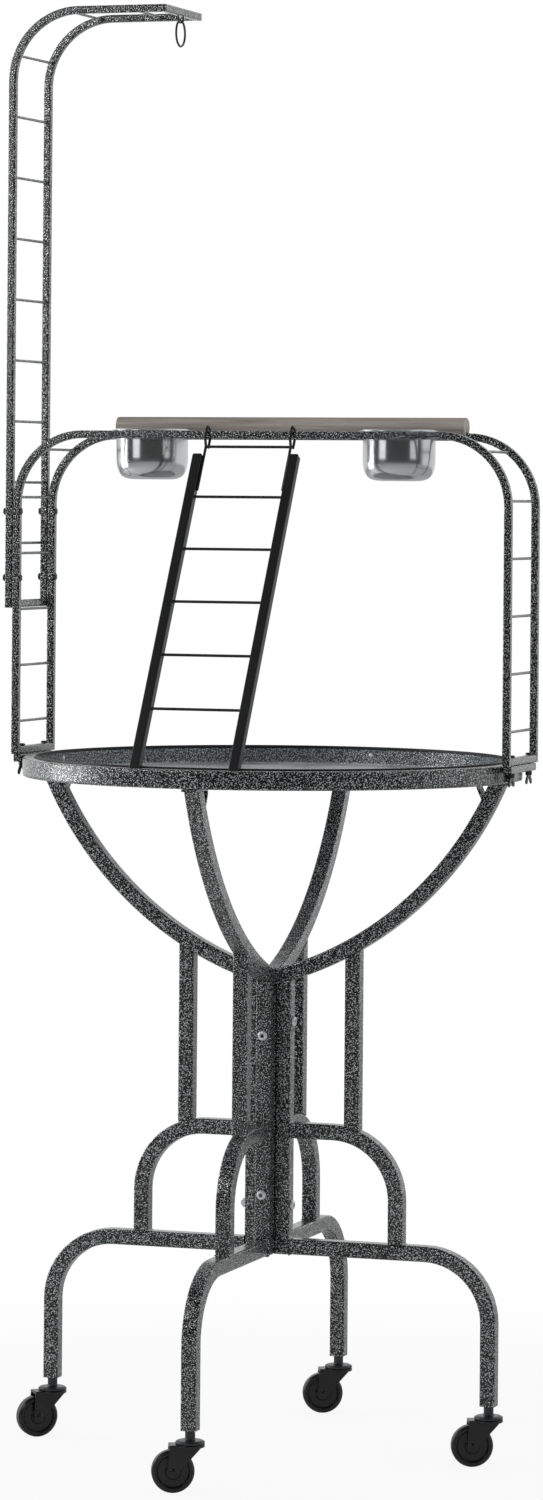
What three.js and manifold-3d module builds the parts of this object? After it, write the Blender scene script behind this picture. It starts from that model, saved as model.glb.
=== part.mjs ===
import * as THREE from "three";
import { mergeVertices } from "three/addons/utils/BufferGeometryUtils.js";
import Module from "manifold-3d";

// Rolling play stand for a pet, in millimetres, +Z up, on the floor at Z = 0.
// Four alike quarter frames of square tube are bolted round a core tube, which makes a cross-shaped column.
// Their arms carry a round tray. On the tray stand an arch with a perch and two cups, a hanging arm with
// a toy ring, and a small ladder. Each leg ends in a swivel caster.

// Clearances and steps
const seam = 0.3; // between two pieces that are welded, bolted or set on each other
const runningGap = 0.6; // beside a piece that turns or slides
const weldSink = 0.4; // how far a welded piece runs into the wall that carries it
const overrun = 4; // how far a cut runs past what it cuts
const mergeGrain = 0.0001; // corners closer than this are one corner
const bendSteps = 4; // chords in a bend of a quarter turn
const armSteps = 7; // chords along a curved arm
const boltSides = 8;
const wireSides = 6;
const ringSteps = 48;
const cupSteps = 24;
const wheelSteps = 18;
const perchSteps = 16;

// Tube and wire stock
const bigTube = 19;
const bigWall = 1.2;
const bigCorner = 2;
const smallTube = 9.5;
const smallWall = 0.9;
const smallCorner = 1;
const rungThickness = 3.4;

// Casters
const wheelDiameter = 51;
const wheelWidth = 16;
const treadCorner = 3;
const rimDepth = 6; // radial depth of the tyre at the wheel's side
const dishDepth = 2.5; // how far the wheel's side is dished between rim and hub
const hubDiameter = 17;
const axleThickness = 6;
const rivetHead = 9.5;
const rivetHeight = 1.6;
const forkPlate = 2.5;
const crownThickness = 3.5;
const crownDiameter = 35;
const crownReach = 25; // how far the crown reaches over the wheel from the swivel axis
const crownClear = 2.5; // above the wheel
const bossRadius = 7; // round lower end of a fork cheek
const trail = 20.1; // swivel axis to axle
const discDiameter = 35;
const discThickness = 4;
const discBevel = 1.5;
const stemDiameter = 12;
const stemLength = 11.4; // stem that shows between the disc and the leg
const kingpinDiameter = 8;
const kingpinHead = 11;
const kingpinHeadHeight = 2.6;
const plugLength = 26;
const casterYaws = { right: 203.7, back: 203.7, left: 218.7, front: 203.7 }; // degrees, towards the axle

// Quarter frames
const legReach = 282.8; // column axis to the axis of a caster leg
const legHeight = 170.5; // leg's lower end to the underside of its bar
const legBend = 81;
const bowReach = 164.6;
const bowRise = 142.3; // underside of the leg bar to the underside of the bow bar
const bowBend = 81;
const strutReach = 107.6;
const armRadius = 435;
const armBack = 109; // centre of the arm's arc, beyond the column axis
const armRise = 758.2; // column foot to the centre of the arm's arc
const trayRise = 584.3; // column foot to the underside of the tray ring

// Column bolts, heights above the column foot
const sideBoltHeights = [59.6, 284.8]; // through the left and right posts
const frontBoltHeights = [73.8, 268.8]; // through the front and back posts
const columnBoltThickness = 6;
const columnBoltHead = 12;
const columnBoltHeadHeight = 3.4;
const socketDiameter = 5.4;
const socketDepth = 2;

// Tray
const ringRadius = 307;
const ringWidth = 15;
const ringHeight = 22.6;
const ventDiameter = 5; // drain hole in the ring's underside
const panGap = 0.5;
const panWall = 1;
const panCorner = 4;
const panSink = 1.6; // pan's edge below the ring's top
const bracketThickness = 3;
const bracketInner = 263; // reach of the strap's bent inner end
const bracketDrop = 20; // ring underside to the strap's foot on the arm
const bracketBend = 4;
const bracketSetback = 1; // strap's outer end inside the ring's edge

// Lugs that carry the arch
const lugStandoff = 4.05; // ring to lug bar
const lugHalfLength = 54;
const lugTabWidth = 48;
const lugTabDrop = 20.7; // ring top to the tab's lower edge
const lugTabSink = 0.7; // ring top to the tab's upper edge
const lugBoltOffset = 38;
const lugBoltThickness = 4.4;
const lugBoltHead = 9;
const lugBoltHeadHeight = 2.6;
const wingHub = 8.4;
const wingHubHeight = 5;
const wingSpan = 25;
const wingDrop = 12.5; // top of the nut to the middle of a wing's round tip
const wingTip = 3.2;
const wingThickness = 2;

// Arch
const railSpread = 59.8; // middle plane to the axis of a rail
const archHeight = 396.3; // ring top to the centreline of the top bars
const archBend = 85.5;
const archRungStart = 40.4; // rail foot to the first rung, along the rail
const archRungPitch = 69.35;
const archRungCount = 6; // a side, the last of them on the bend

// Perch
const perchDiameter = 23;
const perchLength = 456;
const perchGroove = 4.2;
const perchChamfer = 1.5;

// Cups and their hoops
const cupReach = 160; // middle of the arch to a cup's axis
const cupBack = -2; // cup's axis in front of the arch's middle plane
const cupDiameter = 89;
const cupHeight = 62.5;
const cupWall = 0.8;
const cupCorner = 12;
const cupCornerSteps = 3;
const flangeWidth = 5;
const flangeThickness = 1.4;
const lipHeight = 2.6;
const hoopThickness = 5;
const hoopClear = 0.8; // cup to hoop
const hoopRungDrop = 1.5; // rail axis to the axis of the rungs under a hoop

// Hanging arm
const hangerFoot = 181.3; // ring top to the hanging arm's lower end
const hangerHeight = 737.8; // lower end to the centreline of the top bars
const hangerReach = 193.3; // rail axis to the end bar
const hangerBend = 85.5;
const hangerRungStart = 79.9;
const hangerRungPitch = 75.5;
const hangerRungCount = 9;
const hangerTopRungs = [773.6, 853.8]; // along the rail, on the bend and the top bars
const hangerBoltHeights = [37.1, 119.3]; // above the hanging arm's lower end
const hangerBoltThickness = 4.4;
const hangerBoltHead = 9;
const hangerBoltHeadHeight = 3;
const stapleThickness = 2.5;
const stapleBend = 3.3;
const stapleDrop = 7.9; // end bar to the middle of the staple's lowest wire

// Toy ring
const toyRingDiameter = 35;
const toyRingThickness = 2.7;
const toyRingSteps = 18;

// Ladder
const ladderLean = 30; // degrees
const ladderLeft = -73.5;
const ladderRight = 50.2;
const ladderRail = 12;
const ladderWall = 1.2;
const ladderCorner = 1.5;
const ladderRailStart = 29; // front rail to the upper end of the ladder's rails, along them
const ladderRungStart = 87.5;
const ladderRungPitch = 72.7;
const ladderRungCount = 5;
const hookBarDistance = 17; // front rail to the wire that joins the hooks
const hookReach = 9.5; // front rail's axis to the middle of the hook's wire
const hookTail = 14; // how far the hook's free end hangs behind the rail
const hookShank = 78; // front rail to the lower end of the hook's wire
const hookBend = 4;

// Finishes
const darkHammertone = new THREE.MeshStandardMaterial({ color: 0x44484b, roughness: 0.42, metalness: 0.6 });
const blackSteel = new THREE.MeshStandardMaterial({ color: 0x1c1d1f, roughness: 0.45, metalness: 0.5 });
const blackPlastic = new THREE.MeshStandardMaterial({ color: 0x131416, roughness: 0.5, metalness: 0 });
const tyreRubber = new THREE.MeshStandardMaterial({ color: 0x18191b, roughness: 0.75, metalness: 0 });
const zincSteel = new THREE.MeshStandardMaterial({ color: 0xb9bcbe, roughness: 0.3, metalness: 1 });
const polishedSteel = new THREE.MeshStandardMaterial({ color: 0xd4d5d6, roughness: 0.12, metalness: 1 });
const perchWood = new THREE.MeshStandardMaterial({ color: 0x8a8078, roughness: 0.75, metalness: 0 });

// Heights that follow from the sizes above
const axleHeight = wheelDiameter / 2;
const crownUnderside = wheelDiameter + crownClear;
const crownTop = crownUnderside + crownThickness;
const discUnderside = crownTop + runningGap;
const discTop = discUnderside + discThickness;
const legFoot = discTop + stemLength;
const columnFoot = legFoot + legHeight;
const legBarHeight = columnFoot + bigTube / 2;
const bowBarHeight = columnFoot + bowRise + bigTube / 2;
const armCentreHeight = columnFoot + armRise;
const ringBottom = columnFoot + trayRise;
const ringTop = ringBottom + ringHeight;
const bracketTop = ringBottom - seam;
const armTop = bracketTop - bracketThickness - seam;
const lugTop = ringTop + weldSink / 4;
const archFoot = lugTop + seam;
const archBarHeight = ringTop + archHeight;
const hangerFootHeight = ringTop + hangerFoot;
const hangerBarHeight = hangerFootHeight + hangerHeight;

// Places that follow from the sizes above
const postReach = bigTube + seam;
const postFace = postReach + bigTube / 2;
const lugReach = ringRadius + lugStandoff + smallTube / 2;
const hangerPlace = lugReach + smallTube + seam;
const railInnerFace = railSpread - smallTube / 2;
const wholeHeight = hangerBarHeight + smallTube;

const wasm = await Module();
wasm.setup();

// A closed geometry as a solid that can be cut and joined.
function solidOf(geometry) {
  const bare = geometry.clone();
  bare.deleteAttribute("normal");
  bare.deleteAttribute("uv");
  const merged = mergeVertices(bare, mergeGrain);
  const mesh = new wasm.Mesh({
    numProp: 3,
    vertProperties: merged.attributes.position.array,
    triVerts: new Uint32Array(merged.index.array),
  });
  return new wasm.Manifold(mesh);
}

// A solid back as a geometry.
function geometryOf(solid) {
  const mesh = solid.getMesh();
  const geometry = new THREE.BufferGeometry();
  geometry.setAttribute("position", new THREE.BufferAttribute(mesh.vertProperties, mesh.numProp));
  geometry.setIndex(new THREE.BufferAttribute(mesh.triVerts, 1));
  geometry.computeVertexNormals();
  return geometry;
}

// Geometries joined into one solid, as welding does.
function joined(geometries) {
  return geometries.map(solidOf).reduce((whole, next) => whole.add(next));
}

// A solid less the space of each geometry.
function cut(solid, geometries) {
  return geometries.map(solidOf).reduce((rest, next) => rest.subtract(next), solid);
}

// Corners of a rectangle round the origin, with its corners cut off.
function rectangle(width, height, corner) {
  const x = width / 2;
  const y = height / 2;
  const points = [
    [x - corner, -y],
    [x, corner - y],
    [x, y - corner],
    [x - corner, y],
    [corner - x, y],
    [-x, y - corner],
    [-x, corner - y],
    [corner - x, -y],
  ];
  return points.map(([across, up]) => new THREE.Vector2(across, up));
}

// The section of a square tube.
function tubeSection(side, wall, corner) {
  const section = new THREE.Shape(rectangle(side, side, corner));
  const inner = side / 2 - wall;
  const bore = [[-inner, -inner], [-inner, inner], [inner, inner], [inner, -inner]];
  section.holes.push(new THREE.Path(bore.map(([x, y]) => new THREE.Vector2(x, y))));
  return section;
}

// The section of a round wire.
function wireSection(thickness) {
  const section = new THREE.Shape();
  section.absarc(0, 0, thickness / 2, 0, Math.PI * 2, false);
  return new THREE.Shape(section.getSpacedPoints(wireSides).slice(0, -1));
}

// A straight stretch of a route.
function straightRun(start, end) {
  const direction = end.clone().sub(start).normalize();
  const pointAt = (distance) => start.clone().addScaledVector(direction, distance);
  return { length: start.distanceTo(end), steps: 1, pointAt, directionAt: () => direction.clone() };
}

// A round stretch: it leaves start along before and turns towards inward by the angle.
function roundRun(start, before, inward, radius, angle, steps) {
  const centre = start.clone().addScaledVector(inward, radius);
  const pointAt = (distance) => {
    const turned = distance / radius;
    const ahead = centre.clone().addScaledVector(before, radius * Math.sin(turned));
    return ahead.addScaledVector(inward, -radius * Math.cos(turned));
  };
  const directionAt = (distance) => {
    const turned = distance / radius;
    const ahead = before.clone().multiplyScalar(Math.cos(turned));
    return ahead.addScaledVector(inward, Math.sin(turned));
  };
  return { length: radius * angle, steps, pointAt, directionAt };
}

// A route in the XZ plane, made of straight and round runs. A section's x lies along Y.
class Route extends THREE.Curve {
  constructor(runs) {
    super();
    this.runs = runs;
    this.stations = [];
    for (const run of runs) {
      for (let step = 0; step < run.steps; step++) this.addStation(run, (run.length * step) / run.steps);
    }
    this.addStation(runs.at(-1), runs.at(-1).length);
  }
  addStation(run, distance) {
    this.stations.push({ point: run.pointAt(distance), direction: run.directionAt(distance) });
  }
  getPointAt(share) {
    return this.stations[Math.round(share * (this.stations.length - 1))].point.clone();
  }
  getTangentAt(share) {
    return this.stations[Math.round(share * (this.stations.length - 1))].direction.clone();
  }
  computeFrenetFrames() {
    const tangents = this.stations.map((station) => station.direction);
    const normals = tangents.map(() => new THREE.Vector3(0, 1, 0));
    const binormals = tangents.map((tangent, i) => new THREE.Vector3().crossVectors(tangent, normals[i]));
    return { tangents, normals, binormals };
  }
  // The point that lies this far along the route.
  along(distance) {
    let rest = distance;
    for (const run of this.runs) {
      if (rest <= run.length) return run.pointAt(rest);
      rest -= run.length;
    }
    return this.stations.at(-1).point.clone();
  }
}

// A route through corner points [x, z], each inner corner rounded to the radius.
function bentRoute(corners, radius) {
  const points = corners.map(([x, z]) => new THREE.Vector3(x, 0, z));
  const runs = [];
  let start = points[0];
  for (let i = 1; i < points.length - 1; i++) {
    const before = points[i].clone().sub(points[i - 1]).normalize();
    const after = points[i + 1].clone().sub(points[i]).normalize();
    const angle = before.angleTo(after);
    const inset = radius * Math.tan(angle / 2);
    const bendStart = points[i].clone().addScaledVector(before, -inset);
    const inward = after.clone().addScaledVector(before, -Math.cos(angle)).normalize();
    const steps = Math.max(2, Math.round((bendSteps * angle) / (Math.PI / 2)));
    runs.push(straightRun(start, bendStart));
    runs.push(roundRun(bendStart, before, inward, radius, angle, steps));
    start = points[i].clone().addScaledVector(after, inset);
  }
  runs.push(straightRun(start, points.at(-1)));
  return new Route(runs);
}

// A section carried along a route.
function sweep(section, route) {
  return new THREE.ExtrudeGeometry(section, {
    steps: route.stations.length - 1,
    extrudePath: route,
    bevelEnabled: false,
  });
}

// A flat shape given a thickness, its middle on the shape's plane.
function slab(shape, thickness) {
  const geometry = new THREE.ExtrudeGeometry(shape, { depth: thickness, bevelEnabled: false });
  return geometry.translate(0, 0, -thickness / 2);
}

// A straight bar or tube along Z between two heights.
function upright(section, bottom, top) {
  return slab(section, top - bottom).translate(0, 0, (bottom + top) / 2);
}

// A straight bar or tube along Y, its middle at y = 0.
function crossBar(section, length, x, z) {
  return slab(section, length).rotateX(Math.PI / 2).translate(x, 0, z);
}

// A round rod along Y, its middle at y = 0.
function crossRod(thickness, length, x, z) {
  return new THREE.CylinderGeometry(thickness / 2, thickness / 2, length, wireSides).translate(x, 0, z);
}

// A round rod along Z.
function uprightRod(thickness, bottom, top, sides) {
  const rod = new THREE.CylinderGeometry(thickness / 2, thickness / 2, top - bottom, sides);
  return rod.rotateX(Math.PI / 2).translate(0, 0, (bottom + top) / 2);
}

// A profile of [radius, height] points turned round Z.
function turned(profile, steps) {
  const points = profile.map(([radius, height]) => new THREE.Vector2(radius, height));
  return new THREE.LatheGeometry(points, steps).rotateX(Math.PI / 2);
}

// A box between two corners.
function boxBetween(low, high) {
  const size = high.map((value, i) => value - low[i]);
  const middle = high.map((value, i) => (value + low[i]) / 2);
  return new THREE.BoxGeometry(...size).translate(...middle);
}

function meshOf(name, geometry, material) {
  const mesh = new THREE.Mesh(geometry, material);
  mesh.name = name;
  return mesh;
}

const bigSection = tubeSection(bigTube, bigWall, bigCorner);
const bigClearance = new THREE.Shape(rectangle(bigTube + 2 * seam, bigTube + 2 * seam, bigCorner));
const smallSection = tubeSection(smallTube, smallWall, smallCorner);
const smallBar = new THREE.Shape(rectangle(smallTube, smallTube, smallCorner));
const rungSection = wireSection(rungThickness);

// A through bolt along Z from its head's underside at 0 to its nut's upper face, with round dimpled ends.
function throughBolt(grip, thickness, head, headHeight, socket, depth) {
  const bevel = headHeight / 3;
  const low = -headHeight;
  const high = grip + headHeight;
  return turned(
    [
      [0, low + depth],
      [socket / 2, low + depth],
      [socket / 2, low],
      [head / 2 - bevel, low],
      [head / 2, low + bevel],
      [head / 2, 0],
      [thickness / 2, 0],
      [thickness / 2, grip],
      [head / 2, grip],
      [head / 2, high - bevel],
      [head / 2 - bevel, high],
      [socket / 2, high],
      [socket / 2, high - depth],
      [0, high - depth],
    ],
    boltSides,
  );
}

// Quarter frame: all of it lies in the plane y = 0 and reaches out along +X.

function armRoute() {
  const from = Math.asin((armBack - bigTube) / armRadius);
  const to = Math.acos((armCentreHeight - armTop - bigTube) / armRadius);
  const outward = new THREE.Vector3(Math.sin(from), 0, -Math.cos(from));
  const centre = new THREE.Vector3(-armBack, 0, armCentreHeight);
  const start = centre.addScaledVector(outward, armRadius);
  const ahead = new THREE.Vector3(Math.cos(from), 0, Math.sin(from));
  return new Route([roundRun(start, ahead, outward.negate(), armRadius, to - from, armSteps)]);
}

function legRoute() {
  return bentRoute([[postFace + seam, legBarHeight], [legReach, legBarHeight], [legReach, legFoot]], legBend);
}

function bowRoute() {
  const foot = columnFoot + bigTube + seam;
  return bentRoute([[postFace + seam, bowBarHeight], [bowReach, bowBarHeight], [bowReach, foot]], bowBend);
}

const armClearance = sweep(bigClearance, armRoute());
const bowClearance = sweep(bigClearance, bowRoute());

// Four arms meet over the column, each cut to a point by two planes at 45 degrees.
function armGeometry() {
  const point = seam;
  const far = legReach + ringRadius;
  const wedge = new THREE.Shape([
    new THREE.Vector2(point, 0),
    new THREE.Vector2(far, point - far),
    new THREE.Vector2(far, far - point),
  ]);
  const slice = upright(wedge, columnFoot, armTop);
  return geometryOf(solidOf(sweep(bigSection, armRoute())).intersect(solidOf(slice)));
}

// The post stands against the core tube and is cut to the curve of the arm above it.
function postGeometry(boltHeights) {
  const post = upright(bigSection, columnFoot, armCentreHeight - armRadius + bigTube).translate(postReach, 0, 0);
  const hole = columnBoltThickness + 2 * seam;
  const holes = boltHeights.map((height) =>
    uprightRod(hole, postReach - bigTube, postReach + bigTube, boltSides)
      .rotateY(Math.PI / 2)
      .translate(0, 0, columnFoot + height),
  );
  return geometryOf(cut(solidOf(post), [armClearance, ...holes]));
}

// The strut is saddled on the bow's bend and cut to the curve of the arm.
function strutGeometry() {
  const bendOffset = strutReach - (bowReach - bowBend);
  const bottom = bowBarHeight - bowBend + Math.sqrt(bowBend ** 2 - bendOffset ** 2);
  const top = armCentreHeight - Math.sqrt(armRadius ** 2 - (strutReach + armBack) ** 2);
  const strut = upright(bigSection, bottom, top).translate(strutReach, 0, 0);
  return geometryOf(cut(solidOf(strut), [armClearance, bowClearance]));
}

// The strap lies under the tray ring, and its inner end is bent down onto the arm's inner face.
function bracketGeometry() {
  const level = bracketTop - bracketThickness / 2;
  const footHeight = ringBottom - bracketDrop;
  const footDrop = armCentreHeight - footHeight;
  const foot = Math.sqrt((armRadius - bigTube / 2) ** 2 - footDrop ** 2) - armBack;
  const route = bentRoute(
    [[ringRadius - bracketSetback, level], [bracketInner, level], [foot + bracketThickness / 2, footHeight]],
    bracketBend,
  );
  const strip = new THREE.Shape(rectangle(bigTube, bracketThickness, bracketThickness / 6));
  const above = boxBetween([0, -ringRadius, armTop], [2 * ringRadius, ringRadius, wholeHeight]);
  const armSpace = cut(solidOf(armClearance), [above]);
  return geometryOf(solidOf(sweep(strip, route)).subtract(armSpace));
}

// Casters: the swivel axis is Z and the axle lies along Y, behind it by the trail.

function casterStem() {
  const plugSide = bigTube - 2 * bigWall - 2 * seam;
  const plug = upright(new THREE.Shape(rectangle(plugSide, plugSide, bigCorner)), legFoot + seam, legFoot + plugLength);
  const pinBottom = crownUnderside - seam - kingpinHeadHeight;
  const stem = turned(
    [
      [0, pinBottom],
      [kingpinHead / 2, pinBottom],
      [kingpinHead / 2, crownUnderside - seam],
      [kingpinDiameter / 2, crownUnderside - seam],
      [kingpinDiameter / 2, discUnderside],
      [discDiameter / 2, discUnderside],
      [discDiameter / 2, discTop - discBevel],
      [discDiameter / 2 - 2 * discBevel, discTop],
      [stemDiameter / 2, discTop],
      [stemDiameter / 2, legFoot + plugLength / 2],
      [0, legFoot + plugLength / 2],
    ],
    boltSides + wireSides / 3,
  );
  return geometryOf(joined([stem, plug]));
}

function casterFork() {
  const cheekInner = wheelWidth / 2 + runningGap;
  const cheekOuter = cheekInner + forkPlate;
  const crownAngle = Math.asin(cheekOuter / (crownDiameter / 2));
  const crownShape = new THREE.Shape();
  crownShape.moveTo(crownReach, -cheekOuter);
  crownShape.lineTo(crownReach, cheekOuter);
  crownShape.absarc(0, 0, crownDiameter / 2, crownAngle, Math.PI * 2 - crownAngle, false);
  const crownOutline = new THREE.Shape(crownShape.getPoints(boltSides / 2));
  const crown = upright(crownOutline, crownUnderside, crownTop);

  const cheekBack = -Math.sqrt((crownDiameter / 2) ** 2 - cheekOuter ** 2);
  const cheekShape = new THREE.Shape();
  cheekShape.moveTo(crownReach, crownUnderside + weldSink);
  cheekShape.lineTo(cheekBack, crownUnderside + weldSink);
  cheekShape.absarc(trail, axleHeight, bossRadius, Math.PI, Math.PI * 2, false);
  const cheekOutline = new THREE.Shape(cheekShape.getPoints(boltSides / 2));
  const cheeks = [-1, 1].map((side) =>
    slab(cheekOutline, forkPlate)
      .rotateX(Math.PI / 2)
      .translate(0, (side * (cheekInner + cheekOuter)) / 2, 0),
  );

  const headEdge = cheekOuter + rivetHeight;
  const rivet = turned(
    [
      [0, -headEdge],
      [rivetHead / 2 - rivetHeight, -headEdge],
      [rivetHead / 2, weldSink / 2 - cheekOuter],
      [axleThickness / 2, weldSink / 2 - cheekOuter],
      [axleThickness / 2, cheekOuter - weldSink / 2],
      [rivetHead / 2, cheekOuter - weldSink / 2],
      [rivetHead / 2 - rivetHeight, headEdge],
      [0, headEdge],
    ],
    boltSides,
  ).rotateX(Math.PI / 2);
  rivet.translate(trail, 0, axleHeight);

  const pinHole = kingpinDiameter + 2 * runningGap;
  const hole = uprightRod(pinHole, crownUnderside - overrun, crownTop + overrun, 2 * boltSides);
  return geometryOf(cut(joined([crown, ...cheeks, rivet]), [hole]));
}

function casterWheel() {
  const radius = wheelDiameter / 2;
  const half = wheelWidth / 2;
  const bore = axleThickness / 2 + seam;
  const profile = [
    [bore, -half],
    [hubDiameter / 2, -half],
    [hubDiameter / 2, dishDepth - half],
    [radius - rimDepth, dishDepth - half],
    [radius - rimDepth, -half],
    [radius - treadCorner, -half],
    [radius, treadCorner - half],
  ];
  const mirrored = profile.map(([r, z]) => [r, -z]).reverse();
  const wheel = turned([...profile, ...mirrored, profile[0]], wheelSteps);
  return wheel.rotateX(Math.PI / 2).translate(trail, 0, axleHeight);
}

function casterGroup(side) {
  const group = new THREE.Group();
  group.position.set(legReach, 0, 0);
  group.add(meshOf("caster_stem_" + side, casterStem(), blackSteel));
  return group;
}

// Fork and wheel lie at the yaw that the caster has come to rest at.
function casterSwivel(side, place) {
  const group = new THREE.Group();
  group.position.copy(place);
  group.rotation.z = THREE.MathUtils.degToRad(casterYaws[side]);
  group.add(meshOf("caster_fork_" + side, casterFork(), blackPlastic));
  group.add(meshOf("caster_wheel_" + side, casterWheel(), tyreRubber));
  return group;
}

function quarterFrame(side, angle, boltHeights) {
  const group = new THREE.Group();
  group.rotation.z = angle;
  group.add(meshOf("post_" + side, postGeometry(boltHeights), darkHammertone));
  group.add(meshOf("leg_" + side, sweep(bigSection, legRoute()), darkHammertone));
  group.add(meshOf("bow_" + side, sweep(bigSection, bowRoute()), darkHammertone));
  group.add(meshOf("strut_" + side, strutGeometry(), darkHammertone));
  group.add(meshOf("arm_" + side, armGeometry(), darkHammertone));
  group.add(meshOf("tray_bracket_" + side, bracketGeometry(), darkHammertone));
  group.add(casterGroup(side));
  return group;
}

// Column: the core tube ends under the point where the arms meet.
function coreTube() {
  const top = armCentreHeight - Math.sqrt((armRadius + bigTube / 2) ** 2 - armBack ** 2) - seam;
  const core = upright(bigSection, columnFoot, top);
  const hole = columnBoltThickness + 2 * seam;
  const acrossHole = (height) => uprightRod(hole, -bigTube, bigTube, boltSides)
    .rotateY(Math.PI / 2)
    .translate(0, 0, columnFoot + height);
  const sideHoles = sideBoltHeights.map((height) => acrossHole(height));
  const frontHoles = frontBoltHeights.map((height) => acrossHole(height).rotateZ(Math.PI / 2));
  return geometryOf(cut(solidOf(core), [...sideHoles, ...frontHoles]));
}

// One bolt through two opposite posts and the core.
function columnBolt(height) {
  const grip = 2 * (postFace + seam);
  const bolt = throughBolt(
    grip,
    columnBoltThickness,
    columnBoltHead,
    columnBoltHeadHeight,
    socketDiameter,
    socketDepth,
  );
  return bolt.translate(0, 0, -grip / 2).rotateY(-Math.PI / 2).translate(0, 0, columnFoot + height);
}

// Tray ring: rolled tube with the two lug bars welded to it on standoff tabs.
function trayRing() {
  const middle = ringRadius - ringWidth / 2;
  const level = ringBottom + ringHeight / 2;
  const loop = (points) => {
    const outline = points.map(([x, y]) => [middle + x, level + y]);
    return turned([...outline, outline[0]], ringSteps);
  };
  const skin = loop(rectangle(ringWidth, ringHeight, bigCorner).map(({ x, y }) => [x, y]));
  const boreX = ringWidth / 2 - bigWall;
  const boreY = ringHeight / 2 - bigWall;
  const hollow = loop([[-boreX, -boreY], [boreX, -boreY], [boreX, boreY], [-boreX, boreY]]);
  const vent = uprightRod(ventDiameter, ringBottom - overrun, ringBottom + overrun, boltSides)
    .translate(middle, 0, 0)
    .rotateZ(Math.PI / 4);
  const tabs = [-1, 1].map((side) => {
    const outer = lugReach - smallTube / 2 + weldSink;
    const edges = [side * middle, side * outer].sort((a, b) => a - b);
    return boxBetween(
      [edges[0], -lugTabWidth / 2, ringTop - lugTabDrop],
      [edges[1], lugTabWidth / 2, ringTop - lugTabSink],
    );
  });
  const lugs = [-1, 1].map((side) =>
    crossBar(smallSection, 2 * lugHalfLength, side * lugReach, lugTop - smallTube / 2),
  );
  const welded = cut(joined([skin, ...tabs]), [hollow]).add(joined(lugs));
  const lugBores = [-1, 1].map((side) =>
    crossBar(lugBore(), 2 * lugHalfLength + overrun, side * lugReach, lugTop - smallTube / 2),
  );
  return geometryOf(cut(welded, [vent, ...lugBores, ...lugBoltHoles()]));
}

// The bore of a small tube, to clear it again after welding.
function lugBore() {
  const inner = smallTube - 2 * smallWall;
  return new THREE.Shape(rectangle(inner, inner, smallWall / 4));
}

function lugBoltHoles() {
  const hole = lugBoltThickness + 2 * seam;
  const holes = [];
  for (const side of [-1, 1]) {
    for (const end of [-1, 1]) {
      const rod = uprightRod(hole, lugTop - 2 * smallTube, archFoot + 2 * smallTube, boltSides);
      holes.push(rod.translate(side * lugReach, end * lugBoltOffset, 0));
    }
  }
  return holes;
}

function trayPan() {
  const radius = ringRadius - ringWidth - panGap;
  const inner = radius - panWall;
  const edge = ringTop - panSink;
  const profile = [
    [0, ringBottom],
    [radius - panCorner, ringBottom],
    [radius, ringBottom + panCorner],
    [radius, edge],
    [inner, edge],
    [inner, ringBottom + panCorner],
    [radius - panCorner, ringBottom + panWall],
    [0, ringBottom + panWall],
  ];
  return turned(profile, ringSteps);
}

// Bolt down through the arch's foot bar and the lug bar, with a wing nut under it.
function lugBolt() {
  const grip = 2 * smallTube + 3 * seam;
  const top = archFoot + smallTube + seam;
  const nutTop = top - grip;
  const profile = [
    [0, nutTop - wingHubHeight],
    [wingHub / 2 - seam, nutTop - wingHubHeight],
    [wingHub / 2, nutTop],
    [lugBoltThickness / 2, nutTop],
    [lugBoltThickness / 2, top],
    [lugBoltHead / 2, top],
    [lugBoltHead / 2, top + lugBoltHeadHeight / 3],
    [lugBoltHead / 3, top + lugBoltHeadHeight],
    [0, top + lugBoltHeadHeight],
  ];
  const wing = new THREE.Shape();
  wing.moveTo(0, nutTop - wingHubHeight);
  wing.absarc(wingSpan / 2 - wingTip, nutTop - wingDrop, wingTip, -Math.PI * 0.7, Math.PI * 0.2, false);
  wing.lineTo(wingHub / 3, nutTop - seam);
  wing.lineTo(0, nutTop - seam);
  const wingOutline = new THREE.Shape(wing.getPoints(bendSteps));
  const wings = [-1, 1].map((side) =>
    slab(wingOutline, wingThickness).rotateX(Math.PI / 2).rotateZ((side * Math.PI) / 2),
  );
  return geometryOf(joined([turned(profile, boltSides), ...wings]));
}

// Arch

function archRoute() {
  return bentRoute(
    [[-lugReach, archFoot], [-lugReach, archBarHeight], [lugReach, archBarHeight], [lugReach, archFoot]],
    archBend,
  );
}

const weldedRungLength = 2 * (railInnerFace + weldSink);

function archRungs() {
  const route = archRoute();
  const rungs = [];
  for (let i = 0; i < archRungCount; i++) {
    const { x, z } = route.along(archRungStart + i * archRungPitch);
    for (const side of [-1, 1]) rungs.push(crossRod(rungThickness, weldedRungLength, side * x, z));
  }
  return rungs;
}

const hoopRadius = cupDiameter / 2 + hoopClear + hoopThickness / 2;
const hoopRungHeight = archBarHeight - hoopRungDrop;
const hoopHeight = hoopRungHeight + rungThickness / 2 + hoopThickness / 2 - weldSink;
const hoopTop = hoopHeight + hoopThickness / 2;

// A hoop for a cup, welded on two rungs between the rails.
function cupHoop(side) {
  const hoop = new THREE.TorusGeometry(hoopRadius, hoopThickness / 2, wireSides, cupSteps);
  const pieces = [hoop.rotateZ(Math.PI / cupSteps).translate(side * cupReach, cupBack, hoopHeight)];
  for (const edge of [-1, 1]) {
    const x = side * cupReach + edge * hoopRadius;
    pieces.push(crossRod(rungThickness, weldedRungLength, x, hoopRungHeight));
  }
  return pieces;
}

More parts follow.
